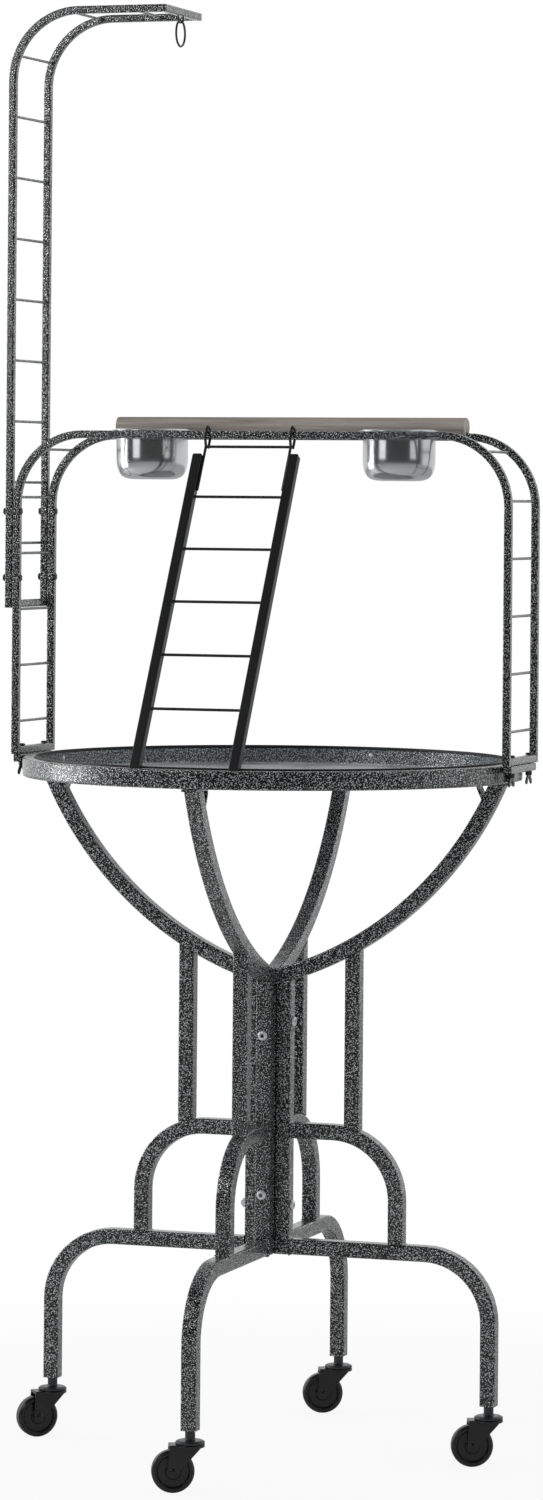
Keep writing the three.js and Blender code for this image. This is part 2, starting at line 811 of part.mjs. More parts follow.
function hangerBoltHoles() {
  const hole = hangerBoltThickness + 2 * seam;
  const holes = [];
  for (const side of [-1, 1]) {
    for (const height of hangerBoltHeights) {
      const rod = uprightRod(hole, -hangerPlace - smallTube, smallTube - lugReach, boltSides);
      const level = hangerFootHeight + height;
      holes.push(rod.rotateY(Math.PI / 2).translate(0, side * railSpread, level));
    }
  }
  return holes;
}

function archFrame() {
  const rails = [-1, 1].map((side) => sweep(smallSection, archRoute()).translate(0, side * railSpread, 0));
  const footBars = [-1, 1].map((side) =>
    crossBar(smallSection, weldedRungLength, side * lugReach, archFoot + smallTube / 2),
  );
  const welded = joined([...rails, ...footBars, ...archRungs(), ...cupHoop(-1), ...cupHoop(1)]);
  return geometryOf(cut(welded, [...lugBoltHoles(), ...hangerBoltHoles()]));
}

// Perch: a dowel with a groove along its underside that sits on the back rail.
function perch() {
  const half = perchLength / 2;
  const radius = perchDiameter / 2;
  const dowel = turned(
    [
      [0, -half],
      [radius - perchChamfer, -half],
      [radius, perchChamfer - half],
      [radius, half - perchChamfer],
      [radius - perchChamfer, half],
      [0, half],
    ],
    perchSteps,
  ).rotateY(Math.PI / 2);
  const axisHeight = archBarHeight + smallTube / 2 - perchGroove + radius;
  const groove = boxBetween(
    [-half - overrun, railSpread - smallTube / 2 - seam, archBarHeight - smallTube],
    [half + overrun, railSpread + smallTube / 2 + seam, archBarHeight + smallTube / 2 + seam],
  );
  return geometryOf(cut(solidOf(dowel.translate(0, railSpread, axisHeight)), [groove]));
}

// Cup: a spun bowl with a round lower edge and a flange that rests on its hoop.
function cup(side) {
  const radius = cupDiameter / 2;
  const flange = radius + flangeWidth;
  const seat = hoopTop + seam;
  const rim = seat + lipHeight;
  const bottom = rim - cupHeight;
  const corner = (size, inset) => {
    const points = [];
    for (let i = 0; i <= cupCornerSteps; i++) {
      const angle = (i / cupCornerSteps) * (Math.PI / 2);
      const out = radius - cupCorner + size * Math.sin(angle);
      points.push([out, bottom + inset + size - size * Math.cos(angle)]);
    }
    return points;
  };
  const profile = [
    [0, bottom],
    ...corner(cupCorner, 0),
    [radius, seat],
    [flange - flangeThickness / 2, seat],
    [flange, seat + flangeThickness / 2],
    [flange - flangeThickness / 2, seat + flangeThickness],
    [radius + cupWall, seat + flangeThickness],
    [radius, rim],
    [radius - cupWall, rim],
    ...corner(cupCorner - cupWall, cupWall).reverse(),
    [0, bottom + cupWall],
  ];
  return turned(profile, cupSteps).translate(side * cupReach, cupBack, 0);
}

// Hanging arm: two bent rails with rungs, an end bar and a staple for the toy ring.

function hangerRoute() {
  const tip = hangerReach - hangerPlace;
  return bentRoute(
    [[-hangerPlace, hangerFootHeight], [-hangerPlace, hangerBarHeight], [tip, hangerBarHeight]],
    hangerBend,
  );
}

const endBarPlace = hangerReach - hangerPlace + smallTube / 2 - weldSink;
const stapleLowest = hangerBarHeight - smallTube / 2 - stapleDrop;

function staple() {
  const top = hangerBarHeight - smallTube / 2 + weldSink;
  const route = bentRoute(
    [[-stapleBend, top], [-stapleBend, stapleLowest], [stapleBend, stapleLowest], [stapleBend, top]],
    stapleBend,
  );
  return sweep(wireSection(stapleThickness), route).translate(endBarPlace, 0, 0);
}

function hangingArm() {
  const rails = [-1, 1].map((side) => sweep(smallSection, hangerRoute()).translate(0, side * railSpread, 0));
  const route = hangerRoute();
  const distances = [...hangerTopRungs];
  for (let i = 0; i < hangerRungCount; i++) distances.push(hangerRungStart + i * hangerRungPitch);
  const rungs = distances.map((distance) => {
    const { x, z } = route.along(distance);
    return crossRod(rungThickness, weldedRungLength, x, z);
  });
  const endBar = crossBar(smallSection, 2 * (railSpread + smallTube / 2), endBarPlace, hangerBarHeight);
  const footBar = crossBar(smallBar, weldedRungLength, -hangerPlace, hangerFootHeight + smallTube / 2);
  const welded = joined([...rails, ...rungs, endBar, footBar, staple()]);
  return geometryOf(cut(welded, hangerBoltHoles()));
}

// Bolt along X through a rail of the hanging arm and a rail of the arch.
function hangerBolt(side, height) {
  const grip = 2 * smallTube + 3 * seam;
  const bolt = throughBolt(
    grip,
    hangerBoltThickness,
    hangerBoltHead,
    hangerBoltHeadHeight,
    hangerBoltThickness / 2,
    hangerBoltHeadHeight / 4,
  );
  const start = -hangerPlace - smallTube / 2 - seam;
  return bolt.rotateY(Math.PI / 2).translate(start, side * railSpread, hangerFootHeight + height);
}

// Toy ring: it hangs in the staple, its plane across the staple's.
const toyRingPivot = stapleLowest + stapleThickness / 2 + seam + toyRingThickness / 2;

function toyRing() {
  const radius = (toyRingDiameter - toyRingThickness) / 2;
  const ring = new THREE.TorusGeometry(radius, toyRingThickness / 2, wireSides, toyRingSteps);
  return ring.rotateY(Math.PI / 2).translate(endBarPlace, 0, toyRingPivot - radius);
}

// Ladder: made hanging straight down from the front rail's axis, then leaned out onto the tray ring.

// One hook: its wire lies along the ladder's rail, and goes over the front rail and down behind it.
function ladderHook(x) {
  const route = bentRoute(
    [
      [0, -hookShank],
      [0, -hookBarDistance],
      [-hookReach, -hookReach],
      [-hookReach, hookReach],
      [hookReach, hookReach],
      [hookReach, -hookTail],
    ],
    hookBend,
  );
  return sweep(rungSection, route).rotateZ(Math.PI / 2).translate(x, 0, 0);
}

function ladder() {
  const lean = THREE.MathUtils.degToRad(ladderLean);
  const foot = (archBarHeight - ringTop) / Math.cos(lean) + ladderRail;
  const solidRail = new THREE.Shape(rectangle(ladderRail, ladderRail, ladderCorner));
  const railBore = ladderRail - 2 * ladderWall;
  const bore = new THREE.Shape(rectangle(railBore, railBore, ladderCorner / 2));
  const places = [ladderLeft, ladderRight];
  const rails = places.map((x) => upright(solidRail, -foot, -ladderRailStart).translate(x, 0, 0));
  const bores = places.map((x) =>
    upright(bore, -foot - overrun, -ladderRailStart - ladderWall).translate(x, 0, 0),
  );
  const middle = (ladderLeft + ladderRight) / 2;
  const innerWidth = ladderRight - ladderLeft - ladderRail;
  const rungs = [];
  for (let i = 0; i < ladderRungCount; i++) {
    const rung = uprightRod(rungThickness, -innerWidth / 2 - weldSink, innerWidth / 2 + weldSink, wireSides);
    rungs.push(rung.rotateY(Math.PI / 2).translate(middle, 0, -ladderRungStart - i * ladderRungPitch));
  }
  const hookOffset = innerWidth / 2 - rungThickness / 2 + weldSink;
  const hooks = [-1, 1].map((side) => ladderHook(middle + side * hookOffset));
  const hookBar = uprightRod(rungThickness, -hookOffset, hookOffset, wireSides)
    .rotateY(Math.PI / 2)
    .translate(middle, 0, -hookBarDistance);
  const hollowRails = cut(joined([...rails, ...rungs]), bores);
  const floor = boxBetween(
    [-ringRadius, -ringRadius, ringTop - ringRadius],
    [ringRadius, ringRadius, ringTop + seam],
  );
  const leaned = hollowRails
    .add(joined([...hooks, hookBar]))
    .rotate([-ladderLean, 0, 0])
    .translate([0, -railSpread, archBarHeight]);
  return geometryOf(cut(leaned, [floor]));
}

// The whole stand

const quarters = [
  ["right", 0, sideBoltHeights],
  ["back", Math.PI / 2, frontBoltHeights],
  ["left", Math.PI, sideBoltHeights],
  ["front", -Math.PI / 2, frontBoltHeights],
];

const stand = new THREE.Group();
stand.add(meshOf("core_tube", coreTube(), darkHammertone));
for (const [side, angle, heights] of quarters) {
  stand.add(quarterFrame(side, angle, heights));
  const foot = new THREE.Vector3(legReach * Math.cos(angle), legReach * Math.sin(angle), 0);
  stand.add(casterSwivel(side, foot));
}
sideBoltHeights.forEach((height, i) => {
  stand.add(meshOf("column_bolt_side_" + (i + 1), columnBolt(height), zincSteel));
});
frontBoltHeights.forEach((height, i) => {
  const bolt = columnBolt(height).rotateZ(Math.PI / 2);
  stand.add(meshOf("column_bolt_front_" + (i + 1), bolt, zincSteel));
});
stand.add(meshOf("tray_ring", trayRing(), darkHammertone));
stand.add(meshOf("tray_pan", trayPan(), darkHammertone));
for (const [side, sideName] of [[-1, "left"], [1, "right"]]) {
  for (const [end, endName] of [[-1, "front"], [1, "back"]]) {
    const bolt = meshOf("wing_bolt_" + sideName + "_" + endName, lugBolt(), zincSteel);
    bolt.position.set(side * lugReach, end * lugBoltOffset, 0);
    stand.add(bolt);
  }
}
stand.add(meshOf("arch_frame", archFrame(), darkHammertone));
stand.add(meshOf("perch", perch(), perchWood));
stand.add(meshOf("cup_left", cup(-1), polishedSteel));
stand.add(meshOf("cup_right", cup(1), polishedSteel));
stand.add(meshOf("hanging_arm", hangingArm(), darkHammertone));
for (const [side, sideName] of [[-1, "front"], [1, "back"]]) {
  hangerBoltHeights.forEach((height, i) => {
    stand.add(meshOf("hanger_bolt_" + sideName + "_" + (i + 1), hangerBolt(side, height), zincSteel));
  });
}
stand.add(meshOf("toy_ring", toyRing(), zincSteel));
stand.add(meshOf("ladder", ladder(), blackSteel));

// The origin is on the floor, under the middle of the whole stand.
const bounds = new THREE.Box3().setFromObject(stand, true);
const middle = bounds.getCenter(new THREE.Vector3());
stand.position.set(-middle.x, -middle.y, -bounds.min.z);

const part = new THREE.Group();
part.add(stand);

export default part;
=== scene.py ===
"""Rolling play stand for a pet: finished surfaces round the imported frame, paint, and the studio."""

import math

import bmesh
import bpy
import numpy as np
from bpy.props import FloatProperty, FloatVectorProperty, IntProperty, PointerProperty
from mathutils import Matrix, Vector


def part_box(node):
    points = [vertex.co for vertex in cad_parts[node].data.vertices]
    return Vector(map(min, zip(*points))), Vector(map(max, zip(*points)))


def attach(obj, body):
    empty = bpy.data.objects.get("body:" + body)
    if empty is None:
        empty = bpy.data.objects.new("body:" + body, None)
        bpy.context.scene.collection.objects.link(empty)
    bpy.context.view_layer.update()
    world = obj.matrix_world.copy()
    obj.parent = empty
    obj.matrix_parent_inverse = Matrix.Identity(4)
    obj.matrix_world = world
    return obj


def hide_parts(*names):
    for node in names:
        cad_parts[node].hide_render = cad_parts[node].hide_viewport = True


bl_info = {
    "name": "Rolling play stand",
    "version": (1, 0, 0),
    "blender": (4, 5, 0),
    "location": "3D View > Sidebar > Play stand",
    "description": "Tubes, tray, arch, cups, perch, ladder and casters of a play stand, with their finishes",
    "category": "Add Mesh",
}

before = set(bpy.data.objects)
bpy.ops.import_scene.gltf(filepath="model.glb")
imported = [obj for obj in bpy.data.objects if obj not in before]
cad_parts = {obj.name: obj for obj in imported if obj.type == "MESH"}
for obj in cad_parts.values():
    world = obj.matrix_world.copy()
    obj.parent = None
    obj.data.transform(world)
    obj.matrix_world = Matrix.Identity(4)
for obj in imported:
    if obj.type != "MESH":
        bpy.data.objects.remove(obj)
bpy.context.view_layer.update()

SIDES = ("right", "back", "left", "front")
SUNK = 0.0004  # metres by which a joined piece reaches into its neighbour
SAME_POINT = 1e-6  # metres within which points are merged
NO_LENGTH = 1e-9  # metres, the least length that a direction is divided by
CORNER_SHARE = 0.48  # most that a round corner takes up of an edge, so that two of them don't meet
WHITE = (1.0, 1.0, 1.0)
X, Y, Z = np.eye(3)
LAID_BACK = Matrix.Rotation(math.pi / 2, 4, "X")  # turns Z to -Y


def middle_of(node):
    """The middle of a CAD node's box, as a numpy array."""
    low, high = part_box(node)
    return np.array((low + high) / 2)


COLUMN = middle_of("core_tube")
COLUMN_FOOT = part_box("core_tube")[0].z
LEG_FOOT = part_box("leg_right")[0].z
RING_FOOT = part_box("tray_ring")[0].z
LUG_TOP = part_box("tray_ring")[1].z
ARCH_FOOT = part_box("arch_frame")[0].z
HANGER_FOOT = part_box("hanging_arm")[0].z


# Properties


def length(name, default, description):
    """A size in metres that a user can change."""
    values = {"default": default, "min": 0.0, "unit": "LENGTH", "precision": 5}
    return FloatProperty(name=name, description=description, **values)


def place(name, default, description):
    """A position along an axis, which may be negative."""
    return FloatProperty(name=name, description=description, default=default, unit="LENGTH", precision=5)


def angle(name, degrees, description):
    """An angle that a user can change."""
    return FloatProperty(name=name, description=description, default=math.radians(degrees), unit="ROTATION")


def count(name, default, description):
    """A whole number of pieces or steps."""
    return IntProperty(name=name, description=description, default=default, min=1)


def share(name, default, description):
    """A plain number."""
    return FloatProperty(name=name, description=description, default=default, min=0.0)


def paint(name, code, description):
    """A colour given as six hexadecimal digits, kept as linear light."""
    shown = np.array([int(code[i : i + 2], 16) for i in (0, 2, 4)]) / 255
    linear = np.where(shown <= 0.04045, shown / 12.92, ((shown + 0.055) / 1.055) ** 2.4)
    return FloatVectorProperty(
        name=name, description=description, default=tuple(linear), subtype="COLOR", min=0.0, max=1.0
    )


class TubeStock(bpy.types.PropertyGroup):
    big: length("Big tube", 0.019, "Side of the square tube of the floor stand")
    big_wall: length("Big tube's wall", 0.0012, "Wall of the big tube")
    big_corner: length("Big tube's corner", 0.0024, "Radius of the big tube's outer corners")
    small: length("Small tube", 0.0095, "Side of the square tube of the arch and the hanging arm")
    small_corner: length("Small tube's corner", 0.0019, "Radius of the small tube's outer corners")
    rung: length("Rung", 0.0034, "Thickness of the round rungs")
    weld: length("Weld", 0.0011, "How far a weld's fillet stands round a rung's end")
    big_weld: length("Big weld", 0.0016, "How far a weld's fillet stands round a big tube's end")
    gap: length("Seam", 0.0003, "Gap between two pieces that are set on each other")


class FloorStand(bpy.types.PropertyGroup):
    leg_reach: length("Leg reach", 0.2828, "Column axis to the axis of a caster leg")
    leg_bend: length("Leg bend", 0.081, "Bend radius at the tube's middle, legs and bows")
    bow_reach: length("Bow reach", 0.1646, "Column axis to the bow's upright end")
    bow_rise: length("Bow rise", 0.1423, "Underside of the leg bar to the underside of the bow bar")
    strut_reach: length("Strut reach", 0.1076, "Column axis to the strut between bow and arm")
    arm_radius: length("Arm radius", 0.435, "Radius of the arms' middle line")
    arm_meet: length("Arms' meeting point", 0.3371, "Column foot to where the arms' middle lines meet")
    arm_inset: length("Arm inset", 0.0189, "Tray ring's edge to the middle of an arm's upper end")
    strap: length("Strap", 0.003, "Thickness of the strap under the tray ring")
    strap_length: length("Strap length", 0.044, "Tray ring's edge to the strap's bend")
    strap_drop: length("Strap's drop", 0.020, "Ring's underside to the strap's foot on the arm")
    strap_inset: length("Strap inset", 0.001, "Tray ring's edge to the strap's outer end")
    strap_bend: length("Strap's bend radius", 0.004, "Radius at the strap's middle where it turns down")
    strap_corner: length("Strap's corner", 0.0006, "Radius of the strap's long edges")


class ColumnBolts(bpy.types.PropertyGroup):
    head: length("Head", 0.012, "Diameter of a column bolt's head")
    head_height: length("Head height", 0.0034, "Height of a column bolt's head")
    socket: length("Socket", 0.005, "Width of the hexagon socket")
    socket_depth: length("Socket depth", 0.0055, "Depth of the hexagon socket")
    nut: length("Nut height", 0.0046, "Height of a column bolt's nut")
    tail: length("Bolt's end", 0.002, "How far a column bolt's end stands out of its nut")
    shaft: length("Shaft", 0.006, "Thickness of the bolt")


class Casters(bpy.types.PropertyGroup):
    wheel: length("Wheel", 0.051, "Diameter of a wheel")
    width: length("Wheel width", 0.016, "Width of a wheel")
    hub: length("Hub", 0.017, "Diameter of the hub's raised face")
    rim: length("Rim", 0.006, "Radial depth of the tyre at the wheel's side")
    dish: length("Dish", 0.0025, "How far the wheel's side is dished")
    plate: length("Fork plate", 0.0025, "Thickness of a fork's cheek")
    crown: length("Crown", 0.035, "Diameter of the fork's crown and of the disc above it")
    crown_reach: length("Crown reach", 0.025, "How far the crown reaches over the wheel")
    crown_thickness: length("Crown thickness", 0.0035, "Thickness of the fork's crown")
    crown_clear: length("Crown clearance", 0.0025, "Wheel to the crown's underside")
    boss: length("Boss", 0.007, "Radius of a cheek's round lower end")
    disc: length("Disc thickness", 0.004, "Thickness of the raceway disc")
    stem: length("Stem", 0.012, "Diameter of the stem between disc and leg")
    rivet: length("Rivet head", 0.0095, "Diameter of the axle's riveted ends")
    rivet_height: length("Rivet height", 0.0016, "Height of the axle's riveted ends")
    axle: length("Axle", 0.006, "Diameter of the axle between its ends")
    bore: length("Wheel's bore", 0.0066, "Diameter of the hole that the axle runs in")
    shoulder: length("Tyre shoulder", 0.003, "Rounded edge of the tread, across the wheel")
    shoulder_depth: length("Shoulder depth", 0.0026, "Rounded edge of the tread, towards the axle")
    wheel_edge: length("Wheel's edges", 0.0009, "Rounding of a wheel's edges")
    rivet_edge: length("Rivet's edges", 0.0008, "Rounding of the rivet heads' edges")
    crown_edge: length("Crown's edges", 0.0008, "Rounding of the crown's edges")
    cheek_corner: length("Cheek's corners", 0.0012, "Radius of a cheek's corners seen from the side")
    edge: length("Edges", 0.0006, "Rounding of the cheeks' and the stem's edges")
    play: length("Running gap", 0.0006, "Gap beside the wheel, and under the raceway disc")
    cheek_sunk: length("Cheek's root", 0.0014, "How far a cheek reaches into the crown")
    pin: length("Kingpin", 0.008, "Diameter of the kingpin in the crown")
    pin_head: length("Kingpin's head", 0.011, "Diameter of the kingpin's lower end")
    disc_bevel: length("Disc bevel", 0.0016, "Height of the slope at the raceway disc's edge")
    disc_slope: length("Disc slope", 0.003, "Width of the slope at the raceway disc's edge")
    stem_sunk: length("Stem's root", 0.006, "How far the stem reaches into the leg's plug")
    plug: length("Plug", 0.026, "How far the plug reaches into the leg")
    plug_corner: length("Plug's corners", 0.002, "Radius of the plug's corners")


class Tray(bpy.types.PropertyGroup):
    radius: length("Tray radius", 0.307, "Outer radius of the tray ring")
    width: length("Ring width", 0.015, "Width of the ring's tube")
    height: length("Ring height", 0.0226, "Height of the ring's tube")
    corner: length("Ring corner", 0.0026, "Radius of the ring tube's corners")
    pan_gap: length("Pan gap", 0.0005, "Gap between the ring and the pan")
    pan_wall: length("Pan's sheet", 0.001, "Thickness of the pan's sheet")
    pan_corner: length("Pan corner", 0.004, "Radius where the pan's floor turns up")
    pan_sink: length("Pan sink", 0.0016, "Pan's edge below the ring's top")
    pan_edge: length("Pan's edges", 0.0003, "Rounding of the pan's upper edge")
    # The edging is painted shade: a black ring for the shadowed gap between ring and pan
    shade_edging_lip: length("Edging lip", 0.0022, "Edging above the ring's top")
    shade_edging_lap: length("Edging lap", 0.0006, "Edging inwards of the pan's sheet")
    shade_edging_edge: length("Edging's edges", 0.0008, "Rounding of the edging's upper edges")
    lug_half: length("Lug half length", 0.054, "Middle to the end of a lug bar")
    lug_stand: length("Lug standoff", 0.00405, "Ring to the lug bar")
    tab_half: length("Tab half width", 0.024, "Middle to the edge of a lug's tab")
    tab_top: length("Tab top", 0.0007, "Ring's top to the tab's upper edge")
    tab_foot: length("Tab foot", 0.0207, "Ring's top to the tab's lower edge")
    tab_root: length("Tab's root", 0.003, "How far a tab reaches into the ring's tube")
    tab_edge: length("Tab's edges", 0.0008, "Rounding of a tab's edges")
    screw: length("Pan screw", 0.0062, "Diameter of a pan screw's head")
    screw_edge: length("Screw's edges", 0.0005, "Rounding of a pan screw's head")
    screw_height: length("Screws' height", 0.014012, "Ring's underside to the pan's screws")
    screw_turn: angle("Screws' turn", -7.0, "Turn of the pan's screws about the column")


class WingBolts(bpy.types.PropertyGroup):
    bolt: length("Bolt", 0.0044, "Thickness of the bolt")
    head: length("Head", 0.009, "Diameter of the head")
    head_height: length("Head height", 0.0026, "Height of the head")
    head_rim: length("Head rim", 0.001, "Height of the head's upright rim")
    nut: length("Nut", 0.0084, "Diameter of the nut at its seat")
    nut_foot: length("Nut's foot", 0.0078, "Diameter of the nut's lower end")
    nut_height: length("Nut height", 0.005, "Height of the nut")
    wing_reach: length("Wing reach", 0.0093, "Bolt's axis to the middle of a wing's round end")
    wing_drop: length("Wing drop", 0.0125, "Seat to the middle of a wing's round end")
    wing_round: length("Wing's end", 0.0032, "Radius of a wing's round end")
    wing_root: length("Wing's root", 0.0028, "Width of a wing at the seat")
    wing: length("Wing", 0.002, "Thickness of a wing")
    wing_edge: length("Wing's edges", 0.0006, "Rounding of a wing's edges")
    edge: length("Edges", 0.0004, "Rounding of the head's and the nut's edges")


class Arch(bpy.types.PropertyGroup):
    spread: length("Rail spread", 0.0598, "Middle plane to the axis of a rail")
    height: length("Arch height", 0.3963, "Ring's top to the axis of the top bars")
    bend: length("Arch bend", 0.0855, "Bend radius of the arch and of the hanging arm")
    rung_start: length("First rung", 0.0404, "Rail's foot to the first rung, along the rail")
    rung_pitch: length("Rung pitch", 0.06935, "Rung to rung along the rail")
    rung_count: count("Rungs a side", 6, "Rungs in each side of the arch")
    bolt_offset: length("Foot bolt offset", 0.038, "Middle of a foot bar to its bolts")
    hoop: length("Hoop wire", 0.005, "Thickness of a cup hoop's wire")
    hoop_drop: length("Hoop rung drop", 0.0015, "Rail axis to the axis of the rungs under a hoop")
    hoop_clear: length("Hoop clearance", 0.0008, "Cup's wall to the hoop")


class Perch(bpy.types.PropertyGroup):
    thickness: length("Perch", 0.023, "Diameter of the perch")
    span: length("Perch length", 0.456, "Length of the perch")
    groove: length("Groove depth", 0.0045, "Depth of the groove that sits on the back rail")
    chamfer: length("Perch edge", 0.0015, "Rounded edge of the perch's ends")


class Cups(bpy.types.PropertyGroup):
    reach: length("Cup reach", 0.160, "Middle of the arch to a cup's axis")
    back: place("Cup offset", -0.002, "Cup's axis from the arch's middle plane")
    width: length("Cup", 0.089, "Diameter of a cup")
    height: length("Cup height", 0.0625, "Height of a cup")
    sheet: length("Cup's sheet", 0.0008, "Thickness of a cup's wall")
    corner: length("Cup corner", 0.0155, "Height over which a cup's wall runs into its floor")
    flange: length("Flange", 0.005, "Width of the flange that rests on the hoop")
    flange_thickness: length("Flange thickness", 0.0014, "Thickness of the flange")
    lip: length("Lip", 0.0026, "Seat to the cup's rim")
    seat_bend: length("Seat's bend", 0.0008, "Rounding where the wall turns out to the flange")
    flange_edge: length("Flange's edges", 0.0007, "Rounding of the flange's outer edges")
    rim_bend: length("Rim's bend", 0.001, "Rounding where the flange turns up to the rim")
    rim_edge: length("Rim's edges", 0.0003, "Rounding of the rim's edges")


class HangingArm(bpy.types.PropertyGroup):
    height: length("Arm height", 0.7378, "Lower end to the axis of the top bars")
    reach: length("Arm reach", 0.1933, "Rail axis to the rails' far ends")
    rung_start: length("First rung", 0.0799, "Lower end to the first rung, along the rail")
    rung_pitch: length("Rung pitch", 0.0755, "Rung to rung along the rail")
    rung_count: count("Upright rungs", 9, "Rungs below the bend")
    bend_rung: length("Bend rung", 0.7736, "Lower end to the rung on the bend, along the rail")
    top_rung: length("Top rung", 0.8538, "Lower end to the rung on the top bars, along the rail")
    bolt_low: length("Lower bolt", 0.0371, "Lower end to the lower bolts")
    bolt_high: length("Upper bolt", 0.1193, "Lower end to the upper bolts")
    bolt_head: length("Bolt head", 0.009, "Diameter of the bolts' heads")
    bolt_height: length("Bolt head height", 0.003, "Height of the bolts' heads")
    bolt: length("Bolt", 0.0044, "Thickness of the bolts")
    bolt_socket: length("Bolt's socket", 0.0022, "Width of the socket in the bolts' heads")
    bolt_socket_depth: length("Bolt's socket depth", 0.00075, "Depth of that socket")
    bolt_nut: length("Rivet nut", 0.0009, "Height of the rivet nut's rim on the inner side")
    bolt_tail: length("Bolt's end", 0.0004, "How far a bolt's end stands out of its nut")
    staple: length("Staple wire", 0.0025, "Thickness of the staple's wire")
    staple_half: length("Staple half width", 0.0033, "Middle of the staple to the middle of its wire")
    staple_drop: length("Staple drop", 0.0079, "End bar's underside to the middle of the lowest wire")
    staple_bend: length("Staple bend", 0.003234, "Bend radius of the staple, just under its half width")
    toy_ring: length("Toy ring", 0.035, "Outer diameter of the toy ring")
    toy_wire: length("Toy ring's wire", 0.0027, "Thickness of the toy ring's wire")


class Ladder(bpy.types.PropertyGroup):
    inset: length("Foot inset", 0.0184, "Tray ring's edge to the middle of the ladder's feet")
    left: place("Left rail", -0.0735, "Left rail's place along the arch, from its middle")
    right: place("Right rail", 0.0502, "Right rail's place along the arch, from its middle")
    rail: length("Ladder rail", 0.012, "Side of the ladder's rails")
    corner: length("Rail corner", 0.0016, "Radius of the rails' corners")
    end_edge: length("Rail end's edge", 0.00224, "Rounding of the rails' upper ends")
    rail_start: length("Rail start", 0.029, "Front rail's axis to the rails' upper ends, along them")
    rung_start: length("First rung", 0.0875, "Front rail's axis to the first rung")
    rung_pitch: length("Rung pitch", 0.0727, "Rung to rung")
    rung_count: count("Rungs", 5, "Rungs of the ladder")
    hook_bar: length("Hook bar", 0.017, "Front rail's axis to the wire that joins the hooks")
    hook_reach: length("Hook reach", 0.0084, "Front rail's axis to the middle of the hook's wire")
    hook_tail: length("Hook tail", 0.014, "How far the hook's free end hangs behind the rail")
    hook_shank: length("Hook shank", 0.078, "Front rail's axis to the lower end of the hook's wire")
    hook_bend: length("Hook bend", 0.004, "Bend radius of the hooks")


class Finishes(bpy.types.PropertyGroup):
    hammer_dark: paint("Hammertone, dark", "060707", "Paint between the flecks of the hammertone")
    hammer_light: paint("Hammertone, flecks", "c2c6c8", "Silver flecks of the hammertone")
    pan_dark: paint("Pan, dark", "393c3f", "Paint between the flecks of the pan's finish")
    # Pan's floor: the colour of a painted sheen, lighter paint in place of the floor's reflection
    pan_worn: paint("Pan's floor", "b9bdbf", "Rubbed paint of the pan's floor")
    pan_light: paint("Pan, flecks", "b6babc", "Silver flecks of the pan's finish")
    fleck: length("Fleck", 0.0015, "Size of a fleck")
    ladder_black: paint("Ladder black", "191a1c", "Powder coat of the ladder")
    caster_black: paint("Caster black", "060707", "Forks of the casters")
    wheel_black: paint("Wheel black", "090a0b", "Wheels of the casters")
    dark_steel: paint("Dark steel", "3b3d40", "Caster stems, toy ring, wing bolts and hanging arm's bolts")
    zinc: paint("Zinc", "d6d9db", "Column bolts and pan screws")
    steel: paint("Polished steel", "cfd1d3", "Cups")
    wood_light: paint("Perch, light grain", "aaa39d", "Light grain of the perch")
    wood_dark: paint("Perch, dark grain", "787069", "Dark grain of the perch")
    wood_end: paint("Perch, cut end", "bfb8b0", "Cut ends of the perch")


class Studio(bpy.types.PropertyGroup):
    floor: paint("Floor", "dedede", "Colour of the floor")
    floor_radius: length("Floor radius", 7.0, "Radius of the floor")
    camera_x: place("Camera X", 2.02255, "Camera to the right of the origin")
    camera_y: place("Camera Y", -5.964445, "Camera's place along Y, which is negative in front")
    camera_z: place("Camera Z", 1.1717, "Camera's height")
    camera_turn: angle("Camera turn", 18.675, "Camera's turn about the vertical")
    camera_roll: angle("Camera roll", 0.47, "Camera's roll about its own axis")
    lens: share("Lens", 123.0, "Focal length in millimetres")
    shift_x: place("Shift X", -0.00223, "Shift of the lens across")
    shift_y: place("Shift Y", -0.16887, "Lens shift upwards")
    floor_near: length("Floor near", 0.55, "Distance out to which the floor shows all its shade")
    floor_far: length("Floor far", 1.5, "Distance at which the floor has run into the white background")
    world: share("World light", 0.58, "Light from all round")
    behind: share("Backdrop in reflections", 0.85, "Brightness of the backdrop in a reflection")
    before: share("Room in reflections", 0.06, "Brightness of the room on the camera's side in a reflection")
    left: share("Left lamp", 44.0, "Power of the tall lamp on the left, in watts")
    front: share("Front lamp", 12.0, "Power of the lamp on the left of the camera, in watts")
    spark: share("Small lamp", 6.0, "Power of the small lamp above it that makes the flecks glint, in watts")
    right: share("Right lamp", 8.0, "Power of the lamp on the right, in watts")


class PlayStand(bpy.types.PropertyGroup):
    tube: PointerProperty(type=TubeStock)
    stand: PointerProperty(type=FloorStand)
    bolts: PointerProperty(type=ColumnBolts)
    caster: PointerProperty(type=Casters)
    tray: PointerProperty(type=Tray)
    wings: PointerProperty(type=WingBolts)
    arch: PointerProperty(type=Arch)
    perch: PointerProperty(type=Perch)
    cups: PointerProperty(type=Cups)
    hanger: PointerProperty(type=HangingArm)
    ladder: PointerProperty(type=Ladder)
    finish: PointerProperty(type=Finishes)
    studio: PointerProperty(type=Studio)


# Outlines and routes, as arrays of points


def on_circle(angles):
    """Points of the circle of radius 1: (cos a, sin a)."""
    return np.stack([np.cos(angles), np.sin(angles)], axis=-1)


